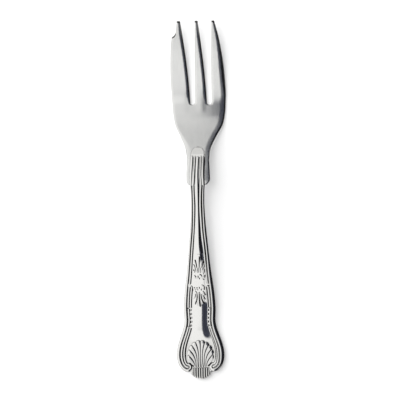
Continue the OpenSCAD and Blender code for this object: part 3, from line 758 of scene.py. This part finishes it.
def ridgeTree():
    # Raises a rounded ridge on every path; a point's radius is half the ridge's width there.
    tree = bpy.data.node_groups.new("raiseRidge", "GeometryNodeTree")
    face = tree.interface
    face.new_socket("Geometry", in_out="INPUT", socket_type="NodeSocketGeometry")
    for name, kind, value in (
            ("Ridge Height", "Float", 0.4), ("Sunk", "Float", 0.05), ("Shoulder", "Float", 2.0),
            ("Lean", "Float", 0.0), ("Shine", "Float", 1.0), ("Profile Points", "Int", 19),
            ("Finish", "Material", None)):
        socket = face.new_socket(name, in_out="INPUT", socket_type="NodeSocket" + kind)
        if value is not None:
            socket.default_value = value
    face.new_socket("Geometry", in_out="OUTPUT", socket_type="NodeSocketGeometry")
    wiring = Wiring(tree)
    node, calc = wiring.node, wiring.calc
    given = node("NodeGroupInput").outputs
    line = node("GeometryNodeMeshLine", {"Count": given["Profile Points"]})
    index = node("GeometryNodeInputIndex").outputs[0]
    turn = calc("DIVIDE", index, calc("SUBTRACT", given["Profile Points"], 1.0))
    across = calc("MULTIPLY", calc("COSINE", calc("MULTIPLY", turn, calc("ARCCOSINE", -1.0))), -1.0)
    lean = given["Lean"]
    rightward = calc("DIVIDE", calc("SUBTRACT", across, lean), calc("SUBTRACT", 1.0, lean))
    leftward = calc("DIVIDE", calc("SUBTRACT", lean, across), calc("ADD", 1.0, lean))
    core = calc("MINIMUM", calc("MAXIMUM", rightward, leftward), 1.0)
    rise = calc("SUBTRACT", 1.0, calc("POWER", core, given["Shoulder"]))
    place = node("ShaderNodeCombineXYZ", {"X": across, "Y": calc("MULTIPLY", rise, -1.0)}).outputs[0]
    # the colour share follows the ridge's rise, so every ridge darkens towards its foot: patina in the
    # grooves with painted shade; a Shine of 0 paints the whole ridge dark
    shine = calc("MULTIPLY", rise, given["Shine"])
    crest = node("GeometryNodeStoreNamedAttribute",
                 {"Geometry": line.outputs["Mesh"], "Name": "crest", "Value": shine},
                 data_type="FLOAT", domain="POINT")
    moved = node("GeometryNodeSetPosition", {"Geometry": crest.outputs[0], "Position": place})
    profile = node("GeometryNodeMeshToCurve", {"Mesh": moved.outputs[0]})
    closed = node("GeometryNodeSetSplineCyclic", {"Geometry": profile.outputs[0], "Cyclic": True})
    upright = node("GeometryNodeSetCurveNormal", {"Curve": given["Geometry"]}, mode="Z_UP")
    radius = node("GeometryNodeInputRadius").outputs[0]
    swept = node("GeometryNodeCurveToMesh", {"Curve": upright.outputs[0], "Scale": radius,
                                             "Profile Curve": closed.outputs[0], "Fill Caps": True})
    at = node("ShaderNodeSeparateXYZ", {0: node("GeometryNodeInputPosition").outputs[0]}).outputs
    high = calc("SUBTRACT", calc("MULTIPLY", at["Z"], given["Ridge Height"]), given["Sunk"])
    lifted = node("ShaderNodeCombineXYZ", {"X": at["X"], "Y": at["Y"], "Z": high}).outputs[0]
    raised = node("GeometryNodeSetPosition", {"Geometry": swept.outputs[0], "Position": lifted})
    soft = node("GeometryNodeSetShadeSmooth", {"Geometry": raised.outputs[0]})
    whole = node("GeometryNodeRealizeInstances", {"Geometry": soft.outputs[0]})
    dressed = node("GeometryNodeSetMaterial",
                   {"Geometry": whole.outputs[0], "Material": given["Finish"]})
    node("NodeGroupOutput", {0: dressed.outputs[0]})
    return tree


raiseRidge = ridgeTree()
ridges = {"Ridge Height": 0.52, "Shoulder": 2.1}
rims = {"left": {"Ridge Height": 0.5, "Shoulder": 2.0, "Lean": 0.2},
        "right": {"Ridge Height": 0.62, "Shoulder": 1.8, "Lean": -0.45}}
# Painted shadow: a ridge painted wholly dark, laid where a raised shape's shadow falls.
paintedShadow = {"Ridge Height": 0.95, "Sunk": 0.03, "Shine": 0.0}


def outward(points, faces):
    # The faces, all turned round if they enclose their volume from inside.
    corners = np.array([(f[0], f[k], f[k + 1]) for f in faces for k in range(1, len(f) - 1)])
    a, b, c = (points[corners[:, k]] for k in range(3))
    return faces if (a * np.cross(b, c)).sum() > 0 else [f[::-1] for f in faces]


def strike(name, node, places, faces, crest, face, base=None, aside=None):
    t, s, h = places.T
    t = t + tongue["shift"] * step(s - handleLength, *tongue["shiftStarts"])
    placed = aside(t, s) if aside else t
    points = onBlank(placed, s, face * (faceRise(s) + h + (base(t, s) if base else 0)))
    dress(name, node, points, outward(points, faces), crest)


def raisePaths(name, node, paths, face, base=None, aside=None, **shape):
    # One struck piece: paths of (t, s, half width) become ridges on the front, 1, or the back, -1.
    curve = bpy.data.curves.new(name, "CURVE")
    curve.dimensions = "3D"
    for path in paths:
        spline = curve.splines.new("POLY")
        spline.points.add(len(path) - 1)
        spline.points.foreach_set("co", np.array([(t, s, 0, 1) for t, s, r in path], float).ravel())
        spline.points.foreach_set("radius", [r for t, s, r in path])
    drawn = addObject(name + "Paths", curve)
    modifier = drawn.modifiers.new("raise", "NODES")
    modifier.node_group = raiseRidge
    sockets = {item.name: item.identifier for item in raiseRidge.interface.items_tree
               if item.in_out == "INPUT"}
    for key, value in shape.items():
        modifier[sockets[key]] = value
    modifier[sockets["Finish"]] = steels[slotOf[node]]
    graph = bpy.context.evaluated_depsgraph_get()
    flat = bpy.data.meshes.new_from_object(drawn.evaluated_get(graph), depsgraph=graph)
    bpy.data.objects.remove(drawn)
    places = np.zeros(len(flat.vertices) * 3)
    flat.vertices.foreach_get("co", places)
    crest = np.zeros(len(flat.vertices), np.float32)
    flat.attributes["crest"].data.foreach_get("value", crest)
    faces = [list(p.vertices) for p in flat.polygons]
    bpy.data.meshes.remove(flat)
    strike(name, node, places.reshape(-1, 3), faces, crest, face, base, aside)


def flip(path, hand):
    return [(t * hand, s, r) for t, s, r in path]


def roundEnds(path):
    # The path with both its ends rounded off, as wide as they are long.
    path = np.array(path, float)
    place = np.concatenate([[0], np.cumsum(np.linalg.norm(np.diff(path[:, :2], axis=0), axis=1))])
    total = place[-1]
    first, last = min(path[0, 2], total / 2), min(path[-1, 2], total / 2)
    turn = 1 - np.cos(np.radians(np.arange(10, 91, 16)))
    marks = np.unique(np.concatenate([place, first * turn, total - last * turn]).round(4))
    t, s, r = (np.interp(marks, place, path[:, k]) for k in range(3))
    ends = arc(marks / first) * arc((total - marks) / last)
    return list(zip(t, s, r * np.maximum(threads["leastEnd"], ends)))


def bent(rootT, rootS, bendT, bendS, tipT, tipS, first, last):
    path = []
    for u in np.linspace(0, 1, 12):
        a, b, c = (1 - u) ** 2, 2 * u * (1 - u), u * u
        path.append((a * rootT + b * bendT + c * tipT, a * rootS + b * bendS + c * tipS,
                     mix(first, last, u)))
    return roundEnds(path)


def laneRun(lane, places):
    # A thread along a lane of the right side, as wide as the pitch less the groove.
    return [(float(beside(s, 1, lane)), s, (float(threadPitch(s)) - grooveWidth(s)) / 2) for s in places]


def borderPaths(hand):
    threadHalf, rimHalf = ((threads[key] - threads["groove"]) / 2 for key in ("pitch", "rimPitch"))
    outerInset, innerInset = (threads["rimPitch"] + threads["pitch"] * lane for lane in (0.5, 1.5))
    start = threads["islandStart"]
    # inner thread down the lobe, round the end of the island and out into the rim
    rim = laneRun(1.5, np.linspace(start, lobePlace, 40))
    rim += [(*roundLobe(angle, innerInset), threadHalf) for angle in np.arange(-4, -91, -4)]
    inner, outer = roundLobe(-90, innerInset), roundLobe(-90, rimHalf)
    turn = (inner[1] - outer[1]) / 2
    for angle in np.arange(96, 265, 8):
        a = math.radians(angle)
        rim.append((inner[0] + turn * threads["curlShare"] * math.cos(a), outer[1] + turn * (1 + math.sin(a)),
                    mix(threadHalf, rimHalf, (angle - 90) / 180)))
    rim += [(*roundLobe(angle, rimHalf), rimHalf) for angle in np.arange(-90, 0, 3)]
    for s in np.linspace(lobePlace, threadsEnd, 220):
        width = float(rimPitch(s)) - grooveWidth(s)
        rim.append((float(handleHalf(min(s, handleLength))) - width / 2, s, width / 2))
    island = laneRun(0.5, np.linspace(start + threads["islandGap"], lobePlace, 40))
    island += [(*roundLobe(angle, outerInset), threadHalf) for angle in np.arange(-4, -92, -4)]
    endT, endS, _ = island[-1]
    island += [(endT - threads["islandTail"] * k, endS, threadHalf) for k in (1, 2)]
    pin = float(threadPitch(hairpinTop)) / 2
    pinMiddle = float(beside(hairpinTop, 1, 1))
    hairpin = laneRun(0.5, np.linspace(beadTop, hairpinTop, 24))
    for angle in np.radians(range(15, 180, 15)):
        hairpin.append((pinMiddle + pin * math.cos(angle), hairpinTop + pin * math.sin(angle),
                        pin - threads["groove"] / 2))
    hairpin += laneRun(1.5, np.linspace(hairpinTop, beadTop, 24))
    thread = laneRun(0.5, np.linspace(threads["bandPlace"], threadsEnd, 130))
    return [flip(roundEnds(path), hand) for path in (rim, island, hairpin, thread)]


beads = {
    "count": 5, "half": 0.42, "lane": 1.55, "besideLane": 0.6, "ends": (0.75, 0.9), "reach": (0.55, 0.5),
    "slant": (0.1, 3, 0.05), "taper": 0.8, "shadowShift": {-1: -0.45, 1: 0.3}, "shadowShare": 0.8,
    "shadowDrop": 0.1, "threadEnds": (0.05, 0.55),
    "shape": {"Ridge Height": 0.7, "Shoulder": 2.2},
}


def beadPaths(hand):
    # beads on the inner lane, each with a painted shadow beside it, and the plain thread that runs beside
    # them
    low, (topEnd, lowEnd) = threads["islandStart"], beads["ends"]
    down, up = beads["reach"]
    sway, turns, back = beads["slant"]
    paths = []
    for s in np.linspace(beadTop - topEnd, low + lowEnd, beads["count"]):
        middle = float(beside(s, 1, beads["lane"]))
        bead = [(middle + sway * math.sin(turns * u) - back, s + mix(-down, up, u),
                 beads["half"] * mix(beads["taper"], 1, u)) for u in np.linspace(0, 1, 8)]
        paths.append(flip(roundEnds(bead), hand))
    # painted shadows: dark copies of the beads moved aside and down
    shift, share = beads["shadowShift"][hand], beads["shadowShare"]
    beadShadows = [[(t + shift, s - beads["shadowDrop"], r * share) for t, s, r in path] for path in paths]
    topEnd, lowEnd = beads["threadEnds"]
    outer = laneRun(beads["besideLane"], np.linspace(beadTop - topEnd, low + lowEnd, 24))
    return paths, beadShadows, [flip(roundEnds(outer), hand)]


# A stroke is given by t and s of its root, of its bend and of its tip, and by half its width at both ends
# the dark strokes listed after each motif's petals are painted shadows, laid where the petals' shadows fall
honeysuckle = {
    "upper": {
        "petals": [
            (-0.1, 44.5, -0.2, 48, 0, 51.5, 0.26, 0.3), (-0.6, 44.8, -1.0, 47.2, -2, 50, 0.2, 0.32),
            (-1, 44.6, -1.5, 46.6, -2.45, 48.1, 0.16, 0.26), (-1.5, 44.3, -1.9, 45, -2.5, 46.2, 0.14, 0.22),
            (0.5, 44.8, 0.6, 47.4, 1.5, 49.7, 0.2, 0.3), (1, 44.8, 1.3, 46.6, 1.9, 48.2, 0.16, 0.22),
            (1.5, 44.3, 1.7, 45.2, 1.95, 46.3, 0.14, 0.2)],
        "shadowStrokes": [
            (0.32, 51.4, 0.28, 49, 0.12, 46.4, 0.27, 0.12), (-1.6, 50.1, -1.15, 48.7, -0.9, 46.6, 0.3, 0.24),
            (-2.25, 48.2, -1.2, 46.8, -1.85, 44.6, 0.2, 0.17),
            (-2.3, 46, -2.25, 45.7, -2.2, 45.3, 0.22, 0.2), (2, 49.6, 2.1, 48.7, 1.07, 46.6, 0.28, 0.17),
            (2.36, 48, 2.1, 46.7, 1.45, 45.7, 0.22, 0.14), (2.34, 46.2, 2.34, 45, 1.85, 43.9, 0.22, 0.14),
            (2.3, 43.6, 2.4, 43, 2.2, 42.4, 0.26, 0.2), (0.1, 43.8, 1, 44, 1, 42.9, 0.22, 0.26),
            (0.15, 42.5, 0.12, 42.1, 0.2, 41.7, 0.24, 0.22), (1.5, 42, 1.9, 41.4, 2.25, 41.9, 0.18, 0.18),
            (-1.95, 43.6, -1.6, 43.2, -1.3, 42.5, 0.24, 0.22),
            (-0.5, 43.4, -0.42, 42.8, -0.5, 42.2, 0.2, 0.18),
            (-0.45, 46.6, -0.38, 45.4, -0.5, 44.4, 0.13, 0.15),
            (0.55, 46.5, 0.5, 45.4, 0.7, 44.4, 0.13, 0.15)],
        "rings": [(-1.25, 42.5), (0.35, 42.9), (1.65, 42.5)], "ringRadius": 0.55,
    },
    "lower": {
        "petals": [
            (-0.4, 36.4, -0.5, 33, -0.15, 30.4, 0.2, 0.34), (0.35, 36.2, 0.2, 33.8, 1.45, 31.3, 0.18, 0.34),
            (1.1, 36, 1, 34.4, 2.2, 32.5, 0.16, 0.26), (1.2, 36.9, 1.7, 36, 2.3, 34.2, 0.16, 0.24),
            (-1.3, 36.2, -1, 33.8, -2.1, 31.7, 0.18, 0.32), (-1.8, 36.4, -1.8, 34.8, -2.5, 33.5, 0.16, 0.24)],
        "shadowStrokes": [
            (-0.05, 36.6, -0.02, 33.5, 0.28, 30.2, 0.16, 0.34),
            (0.75, 35.6, 0.6, 33.4, 2.1, 31.5, 0.17, 0.28), (1.5, 35.1, 1.85, 34.3, 2.45, 33.2, 0.18, 0.28),
            (1.5, 36.9, 2.1, 36.2, 2.55, 35, 0.2, 0.28), (-1.1, 36.1, -0.5, 33.2, -1.96, 31.2, 0.2, 0.19),
            (-1.85, 37, -1.35, 36.7, -1, 36, 0.18, 0.18), (-1.6, 35.6, -1.55, 34.9, -1.85, 34.1, 0.15, 0.15),
            (0.9, 39.4, 2.4, 39.4, 2, 37.2, 0.17, 0.28), (-2.15, 38.6, -2.1, 38.3, -2.1, 38, 0.21, 0.21),
            (-1.85, 37.9, -1.75, 37.6, -1.7, 37.4, 0.18, 0.18),
            (-1.05, 38.5, -1, 38.1, -0.95, 37.8, 0.22, 0.22),
            (-0.75, 37.6, -0.7, 37.4, -0.7, 37.1, 0.18, 0.18),
            (-0.05, 38.6, 0, 38.2, 0.05, 37.8, 0.24, 0.22), (0.7, 37.8, 0.75, 37.4, 0.85, 37, 0.22, 0.22)],
        "rings": [(-1.5, 38), (-0.45, 38.1), (1.25, 38.2)], "ringRadius": 0.5,
    },
    "ringHalf": 0.17, "ringTurn": (60, 330), "shape": {"Ridge Height": 0.4, "Shoulder": 2.2},
}
# painted shadows in the corners outside the round ends of the hairpin threads
hairpinShadows = {"left": [(-3.66, 38.95, -2.85, 38.8, -2.7, 37, 0.22, 0.22)],
                  "right": [(3.6, 39.1, 4.3, 39.4, 4.9, 38.5, 0.22, 0.22)]}


def honeysucklePaths(motif):
    sizes = honeysuckle[motif]
    radius, half = sizes["ringRadius"], honeysuckle["ringHalf"]
    turn = np.radians(np.linspace(*honeysuckle["ringTurn"], 18))
    petals = [bent(*stroke) for stroke in sizes["petals"]]
    petals += [roundEnds([(t + radius * math.cos(a), s + radius * math.sin(a), half) for a in turn])
               for t, s in sizes["rings"]]
    return petals, [bent(*stroke) for stroke in sizes["shadowStrokes"]]


def reliefGrid(top, crest, sunk=0.08):
    # Closed patch from a grid of places with a flat underside just below the face.
    rows, columns = top.shape[:2]
    under = top.copy()
    under[..., 2] = -sunk
    count = rows * columns
    places = np.concatenate([top.reshape(-1, 3), under.reshape(-1, 3)])
    index = np.arange(count).reshape(rows, columns)
    a, b, c, d = (index[:-1, :-1], index[:-1, 1:], index[1:, 1:], index[1:, :-1])
    quads = np.stack([a, b, c, d], -1).reshape(-1, 4)
    rim = np.concatenate([index[0], index[1:, -1], index[-1, -2::-1], index[-2:0:-1, 0]])
    after = np.roll(rim, -1)
    walls = np.stack([after, rim, rim + count, after + count], -1)
    faces = np.concatenate([quads, quads[:, ::-1] + count, walls]).tolist()
    return places, faces, np.concatenate([crest.ravel(), np.zeros(count)])


def fluteColumns(count, columns):
    # Places from -1 to 1 across a row of flutes, closer together towards every groove, and how near
    # each place is to one: 0 in the middle of a flute and 1 in the groove.
    within = (1 - np.cos(np.pi * np.arange(columns) / columns)) / 2
    x = np.append((np.arange(count)[:, None] + within).ravel() * 2 / count - 1, 1.0)[None]
    return x, abs(2 * (((x + 1) / 2 * count) % 1) - 1)


shell = {
    "lobes": 10, "half": 5.35, "foot": handle["shellFoot"], "middle": 10.2, "rise": 5.75, "spread": 113,
    "baseHalf": 2.7, "baseBend": (2.2, 0.9), "lowBend": (0.53, 0.64, 0.6),
    "highBend": (0.83, 1.25, 1.36, 1.16), "height": 0.6, "footHeight": 0.92, "tipRound": 0.13,
    "tipHeight": 0.02, "tipFade": 0.03, "scallop": 0.1, "scallopBend": (0.6, 0.35), "rows": 64,
    "rowBend": 0.85, "lobeColumns": 16, "grooveDepth": 0.45, "shoulder": 9, "groove": (0.12, 0.12),
}


def shellPatch():
    # Every flute runs as a bent stroke from the shell's foot by two places to its tip.
    lobes, half, foot, rise = (shell[key] for key in ("lobes", "half", "foot", "rise"))
    x, aside = fluteColumns(lobes, shell["lobeColumns"])
    v = np.linspace(0, 1, shell["rows"])[:, None] ** shell["rowBend"]
    spread = np.radians(shell["spread"]) * x
    side, size = np.sign(x), abs(x)
    bend, level = shell["scallopBend"]
    reach = 1 + shell["scallop"] * (abs(np.sin(np.pi * (x + 1) / 2 * lobes)) ** bend - level)
    tip = (half * np.sin(spread) * reach, shell["middle"] + rise * np.cos(spread) * reach)
    bend, lift = shell["baseBend"]
    base = (shell["baseHalf"] * (1 - (1 - size) ** bend) * side, foot + lift * size ** 3)
    wide, high, droop = shell["lowBend"]
    first = (half * wide * x, foot + rise * (high - droop * size ** 2))
    wide, bend, high, droop = shell["highBend"]
    second = (half * wide * side * size ** bend, foot + rise * (high - droop * size ** 2))
    a, b, c, d = (1 - v) ** 3, 3 * v * (1 - v) ** 2, 3 * v * v * (1 - v), v ** 3
    t, s = (a * base[k] + b * first[k] + c * second[k] + d * tip[k] for k in (0, 1))
    body = mix(shell["footHeight"], 1, ramp(v)) * arc((1 - v) / shell["tipRound"] + shell["tipHeight"])
    h = shell["height"] * body * (1 - shell["grooveDepth"] * aside ** shell["shoulder"])
    pitch = 2 * mix(shell["baseHalf"], half * math.radians(shell["spread"]), v) / lobes
    # dark in the grooves between flutes, patina with painted shade, and painted shade at the flutes' tips
    crest = step((1 - aside) * pitch / 2, *shell["groove"]) * ramp((1 - v) / shell["tipFade"])
    return np.stack([t, s, h], -1), crest


footFlutes = {
    "count": 8, "pitch": 0.97, "topHalf": 3.3, "lowHalf": 3.8, "topGap": 0.18, "height": 0.46,
    "ends": (0.12, 0.08), "endHeight": 0.35, "endFade": 0.06, "rows": 16, "inset": 0.15,
    "columns": 14, "grooveDepth": 0.6, "shoulder": 4, "groove": (0.13, 0.1),
}


def footPatch():
    count, pitch = footFlutes["count"], footFlutes["pitch"]
    x, aside = fluteColumns(count, footFlutes["columns"])
    v = np.linspace(0, 1, footFlutes["rows"])[:, None]
    lowT, topT = (np.interp(abs(x), (0, 1 - 2 / count, 1), (0, (count / 2 - 1) * pitch, footFlutes[key]))
                  * np.sign(x) for key in ("lowHalf", "topHalf"))
    lowS = footLength * (1 - np.sqrt(1 - (lowT / footHalf) ** 2)) + footFlutes["inset"]
    t = mix(lowT, topT, v)
    s = mix(lowS, shell["foot"] - footFlutes["topGap"], v)
    low, high = footFlutes["ends"]
    ends = mix(footFlutes["endHeight"], 1, arc(v / low) * arc((1 - v) / high))
    h = footFlutes["height"] * (1 - footFlutes["grooveDepth"] * aside ** footFlutes["shoulder"]) * ends
    # dark in the grooves, patina with painted shade, and painted shade at the flutes' top ends
    crest = step((1 - aside) * pitch / 2, *footFlutes["groove"]) * ramp((1 - v) / footFlutes["endFade"])
    return np.stack([t, s, h], -1), crest


tongue = {
    "half": 2.98, "shift": 0.5, "shiftStarts": (3, 10), "length": 15.5, "rise": 0.3, "wall": 0.5,
    "rows": 120, "rowBend": 1.5, "columns": 61, "columnBend": 1.3, "endShare": 1.05, "sunk": 0.12,
    "leastHalf": 0.02,
    "lane": (1.7, 0.25), "cap": (-0.1, 0.35), "fade": (-1.1, 1.2), "groundShine": 0.12,
    "wallShine": (1.6, 0.12), "brightSide": -0.1,
}


def tonguePatch():
    # Body of a tongue: a raised round end about the threads that run into it.
    end = handleLength + tongue["length"]
    v = np.linspace(0, 1, tongue["rows"])[:, None]
    u = np.linspace(-1, 1, tongue["columns"])[None]
    s = handleLength + tongue["length"] * (1 - (1 - v) ** tongue["rowBend"])
    near = np.clip((end - s) / (tongue["half"] * tongue["endShare"]), 0, 1)
    half = tongue["half"] * np.maximum(tongue["leastHalf"], arc(near))
    across = np.sign(u) * (1 - (1 - abs(u)) ** tongue["columnBend"])
    t = half * across
    wall = arc(np.clip(np.minimum(half * (1 - abs(across)), end - s) / tongue["wall"], 0, 1))
    raised = tongue["rise"] * step(s - threadsEnd, *tongue["cap"])
    drop = faceRise(s) - headThick(s) / 2 + tongue["sunk"]
    h = mix(-drop, raised, wall)
    # painted shade: right of brightSide the low wall is painted darker, and the ground between the threads is
    # painted dark, patina with painted shade
    shine, least = tongue["wallShine"]
    foot = np.where(across < tongue["brightSide"], 1, np.clip(wall * shine, least, 1))
    ground = np.maximum(step(abs(t), *tongue["lane"]), step(s - threadsEnd, *tongue["fade"]))
    crest = np.maximum(tongue["groundShine"], ground) * foot
    return np.stack([t, s + 0 * t, h], -1), crest


rib = {"rows": 170, "columns": 33, "end": 0.4, "round": 0.9, "grooveShare": 0.3, "lift": 0.06,
       "leastHalf": 0.15, "leastHeight": 0.2, "dark": 0.16}


def ribPatch():
    # Dome of the stem, which carries on from the panel and ends in the tongue.
    end = threadsEnd - rib["end"]
    s = np.linspace(handle["seam"], end, rib["rows"])[:, None]
    u = np.linspace(-1, 1, rib["columns"])[None]
    narrow = np.where(s > end - rib["round"], arc((end - s) / rib["round"]), 1)
    half = panelHalf(s) - threads["groove"] * rib["grooveShare"]
    half = half * np.maximum(rib["leastHalf"], narrow)
    t = half * u
    h = dome(t, s) * np.maximum(rib["leastHeight"], narrow) + rib["lift"]
    # the rib is painted dark towards its sides by the grooves: patina with painted shade
    crest = np.clip((1 - abs(u)) * half / rib["dark"], 0, 1)
    return np.stack([t, s + 0 * t, h], -1), crest


print("striking the relief on both faces")
patches = {part: reliefGrid(*patch()) for part, patch in (
    ("shell", shellPatch), ("foot_flutes", footPatch), ("tongue", tonguePatch), ("stem_rib", ribPatch))}
for side, face in (("front", 1), ("back", -1)):
    for handName, hand in (("left", -1), ("right", 1)):
        node = f"{side}_{handName}_border"
        rim, *inner = borderPaths(hand)
        corners = [bent(*stroke) for stroke in hairpinShadows[handName]]
        raisePaths(node + "_rim", node, [rim], face, aside=settle, **rims[handName])
        raisePaths(node + "_threads", node, inner, face, aside=settle, **ridges)
        raisePaths(node + "_painted_shadow", node, corners, face, **paintedShadow)
        node = f"{side}_{handName}_beads"
        rounded, beadShadows, plain = beadPaths(hand)
        raisePaths(node + "_struck", node, rounded, face, aside=settle, **beads["shape"])
        raisePaths(node + "_painted_shadow", node, beadShadows, face, aside=settle, **paintedShadow)
        raisePaths(node + "_thread", node, plain, face, aside=settle, **ridges)
    for motif in ("upper", "lower"):
        node = f"{side}_{motif}_honeysuckle"
        petals, shadowStrokes = honeysucklePaths(motif)
        raisePaths(node + "_struck", node, petals, face, base=dome, **honeysuckle["shape"])
        raisePaths(node + "_painted_shadow", node, shadowStrokes, face, base=dome, **paintedShadow)
    for part, patch in patches.items():
        strike(f"{side}_{part}_struck", f"{side}_{part}", *patch, face)


# The setting: camera over the fork, two lamps, a pale floor and the light tent
view = {"pixel": 0.418, "framePixels": 400, "height": 4, "footPixel": (201.2, 378.8),
        "leanShare": 0.02, "sensor": 36, "targetRise": 0.004}


def placeCamera():
    middle = view["framePixels"] / 2
    footX, footY = view["footPixel"]
    along = (footY - middle) * view["pixel"]
    across = (middle - footX + view["leanShare"] * (footY - middle)) * view["pixel"]
    target = Vector(((across - middleShift) / perMetre, (along - middleLength) / perMetre,
                     view["targetRise"]))
    data = bpy.data.cameras.new("overhead")
    data.sensor_width = view["sensor"]
    data.lens = view["sensor"] * view["height"] / (view["pixel"] * view["framePixels"] / perMetre)
    camera = addObject("overhead", data)
    camera.location = target + Vector((0, 0, view["height"]))
    camera.rotation_euler = (0, 0, -math.atan(view["leanShare"]))
    bpy.context.scene.camera = camera


floor = {"reach": 8, "paper": (0.9, 0.9, 0.9, 1), "glow": (1, 1, 1, 1), "glowShare": 0.33}


def layFloor():
    # Pale paper that glows a little where the lens or the steel sees it.
    reach = floor["reach"]
    corners = [(-reach, -reach, 0), (reach, -reach, 0), (reach, reach, 0), (-reach, reach, 0)]
    mesh = bpy.data.meshes.new("paleFloor")
    mesh.from_pydata(corners, [], [(0, 1, 2, 3)])
    shade = Shade("paleFloor")
    path = shade.node("ShaderNodeLightPath").outputs
    seen = shade.calc("MAXIMUM", path["Is Camera Ray"], path["Is Glossy Ray"])
    seen = shade.calc("MAXIMUM", seen, path["Is Transmission Ray"])
    share = shade.calc("MULTIPLY", seen, floor["glowShare"])
    paper = shade.node("ShaderNodeBsdfDiffuse", {"Color": floor["paper"]}).outputs[0]
    glow = shade.node("ShaderNodeEmission", {"Color": floor["glow"], "Strength": 1.0}).outputs[0]
    mixed = shade.node("ShaderNodeMixShader", {0: share, 1: paper, 2: glow}).outputs[0]
    shade.node("ShaderNodeOutputMaterial", {"Surface": mixed})
    mesh.materials.append(shade.owner)
    addObject("paleFloor", mesh)


# Bands of the tent are given in degrees from straight above, across and along the fork
tent = {
    "light": (0.97, 0.97, 0.96), "card": (0.05, 0.055, 0.075), "black": (0.012, 0.012, 0.014),
    "cardAcross": (5, 30), "cardAlong": (-64, 60), "soft": 2.5,
    "nearAcross": (3, 30), "nearAlong": (-9, 11), "nearSoft": 9,
    "rightBlack": (18, 27), "farBlack": (54, 74), "farShare": 0.85, "corner": (0.27, 0.43, 0.45),
    "farDim": (20, 50, 0.06), "nearDim": (-20, -52, 0.16),
    "overheadDim": (-8, 1, 0.2), "overheadAcross": (-12, -5),
}


def lightTent():
    # Bright overhead and on the left, with a dark card beside the lens and black at right and beyond.
    world = bpy.data.worlds.new("lightTent")
    bpy.context.scene.world = world
    shade = Shade("lightTent", world)
    way = shade.node("ShaderNodeSeparateXYZ", {0: shade.node("ShaderNodeTexCoord").outputs["Generated"]})
    across, along = (shade.calc("MULTIPLY", shade.calc("ARCTAN2", way.outputs[axis], way.outputs["Z"]),
                                180 / math.pi) for axis in ("X", "Y"))

    def share(part, *values):
        for value in values:
            part = shade.calc("MULTIPLY", part, value)
        return part

    def band(angle, low, high, soft):
        enter = shade.between(angle, low - soft, low + soft)
        return shade.calc("SUBTRACT", enter, shade.between(angle, high - soft, high + soft))

    def card(name, soft):
        return share(band(across, *tent[name + "Across"], tent["soft"]),
                     band(along, *tent[name + "Along"], soft))

    def dimmed(key, *also):
        low, high, most = tent[key]
        return share(shade.between(along, low, high), *also, most)

    dim = shade.calc("ADD", dimmed("farDim"), dimmed("nearDim"))
    overhead = dimmed("overheadDim", shade.between(across, *tent["overheadAcross"]))
    dim = shade.calc("ADD", dim, overhead)
    level = shade.node("ShaderNodeVectorMath",
                       {0: tent["light"], "Scale": shade.calc("SUBTRACT", 1.0, dim)},
                       operation="SCALE").outputs[0]
    dark = shade.calc("MAXIMUM", card("card", tent["soft"]), card("near", tent["nearSoft"]))
    colour = shade.blend(dark, level, tent["card"])
    ends = shade.calc("MAXIMUM", shade.between(across, *tent["rightBlack"]),
                      share(shade.between(along, *tent["farBlack"]), tent["farShare"]))
    # low down in its corners the tent lets more light in
    diagonal = shade.calc("ABSOLUTE", shade.calc("MULTIPLY", way.outputs["X"], way.outputs["Y"]))
    low, high, most = tent["corner"]
    corner = share(shade.between(diagonal, low, high), most)
    ends = share(ends, shade.calc("SUBTRACT", 1.0, corner))
    colour = shade.blend(ends, colour, tent["black"])
    seen = shade.node("ShaderNodeLightPath").outputs["Is Camera Ray"]
    colour = shade.blend(seen, colour, (1, 1, 1))
    back = shade.node("ShaderNodeBackground", {"Color": colour, "Strength": 1.0})
    shade.node("ShaderNodeOutputWorld", {"Surface": back.outputs[0]})


lamps = {"overLamp": {"energy": 1.35, "angle": 28, "from": (-0.24, 0.17, 0.955)},
         "sideLamp": {"energy": 2.1, "angle": 58, "from": (-0.6, 0.5, 0.62)}}


def hangLamps():
    # One lamp nearly over the fork and a wide one on its left; neither is seen in the steel.
    for name, sizes in lamps.items():
        lamp = bpy.data.lights.new(name, "SUN")
        lamp.energy = sizes["energy"]
        lamp.angle = math.radians(sizes["angle"])
        holder = addObject(name, lamp)
        holder.rotation_euler = Vector(sizes["from"]).to_track_quat("Z", "Y").to_euler()
        holder.visible_glossy = False


print("setting the view")
placeCamera()
layFloor()
lightTent()
hangLamps()
bpy.context.scene.view_settings.view_transform = "Standard"
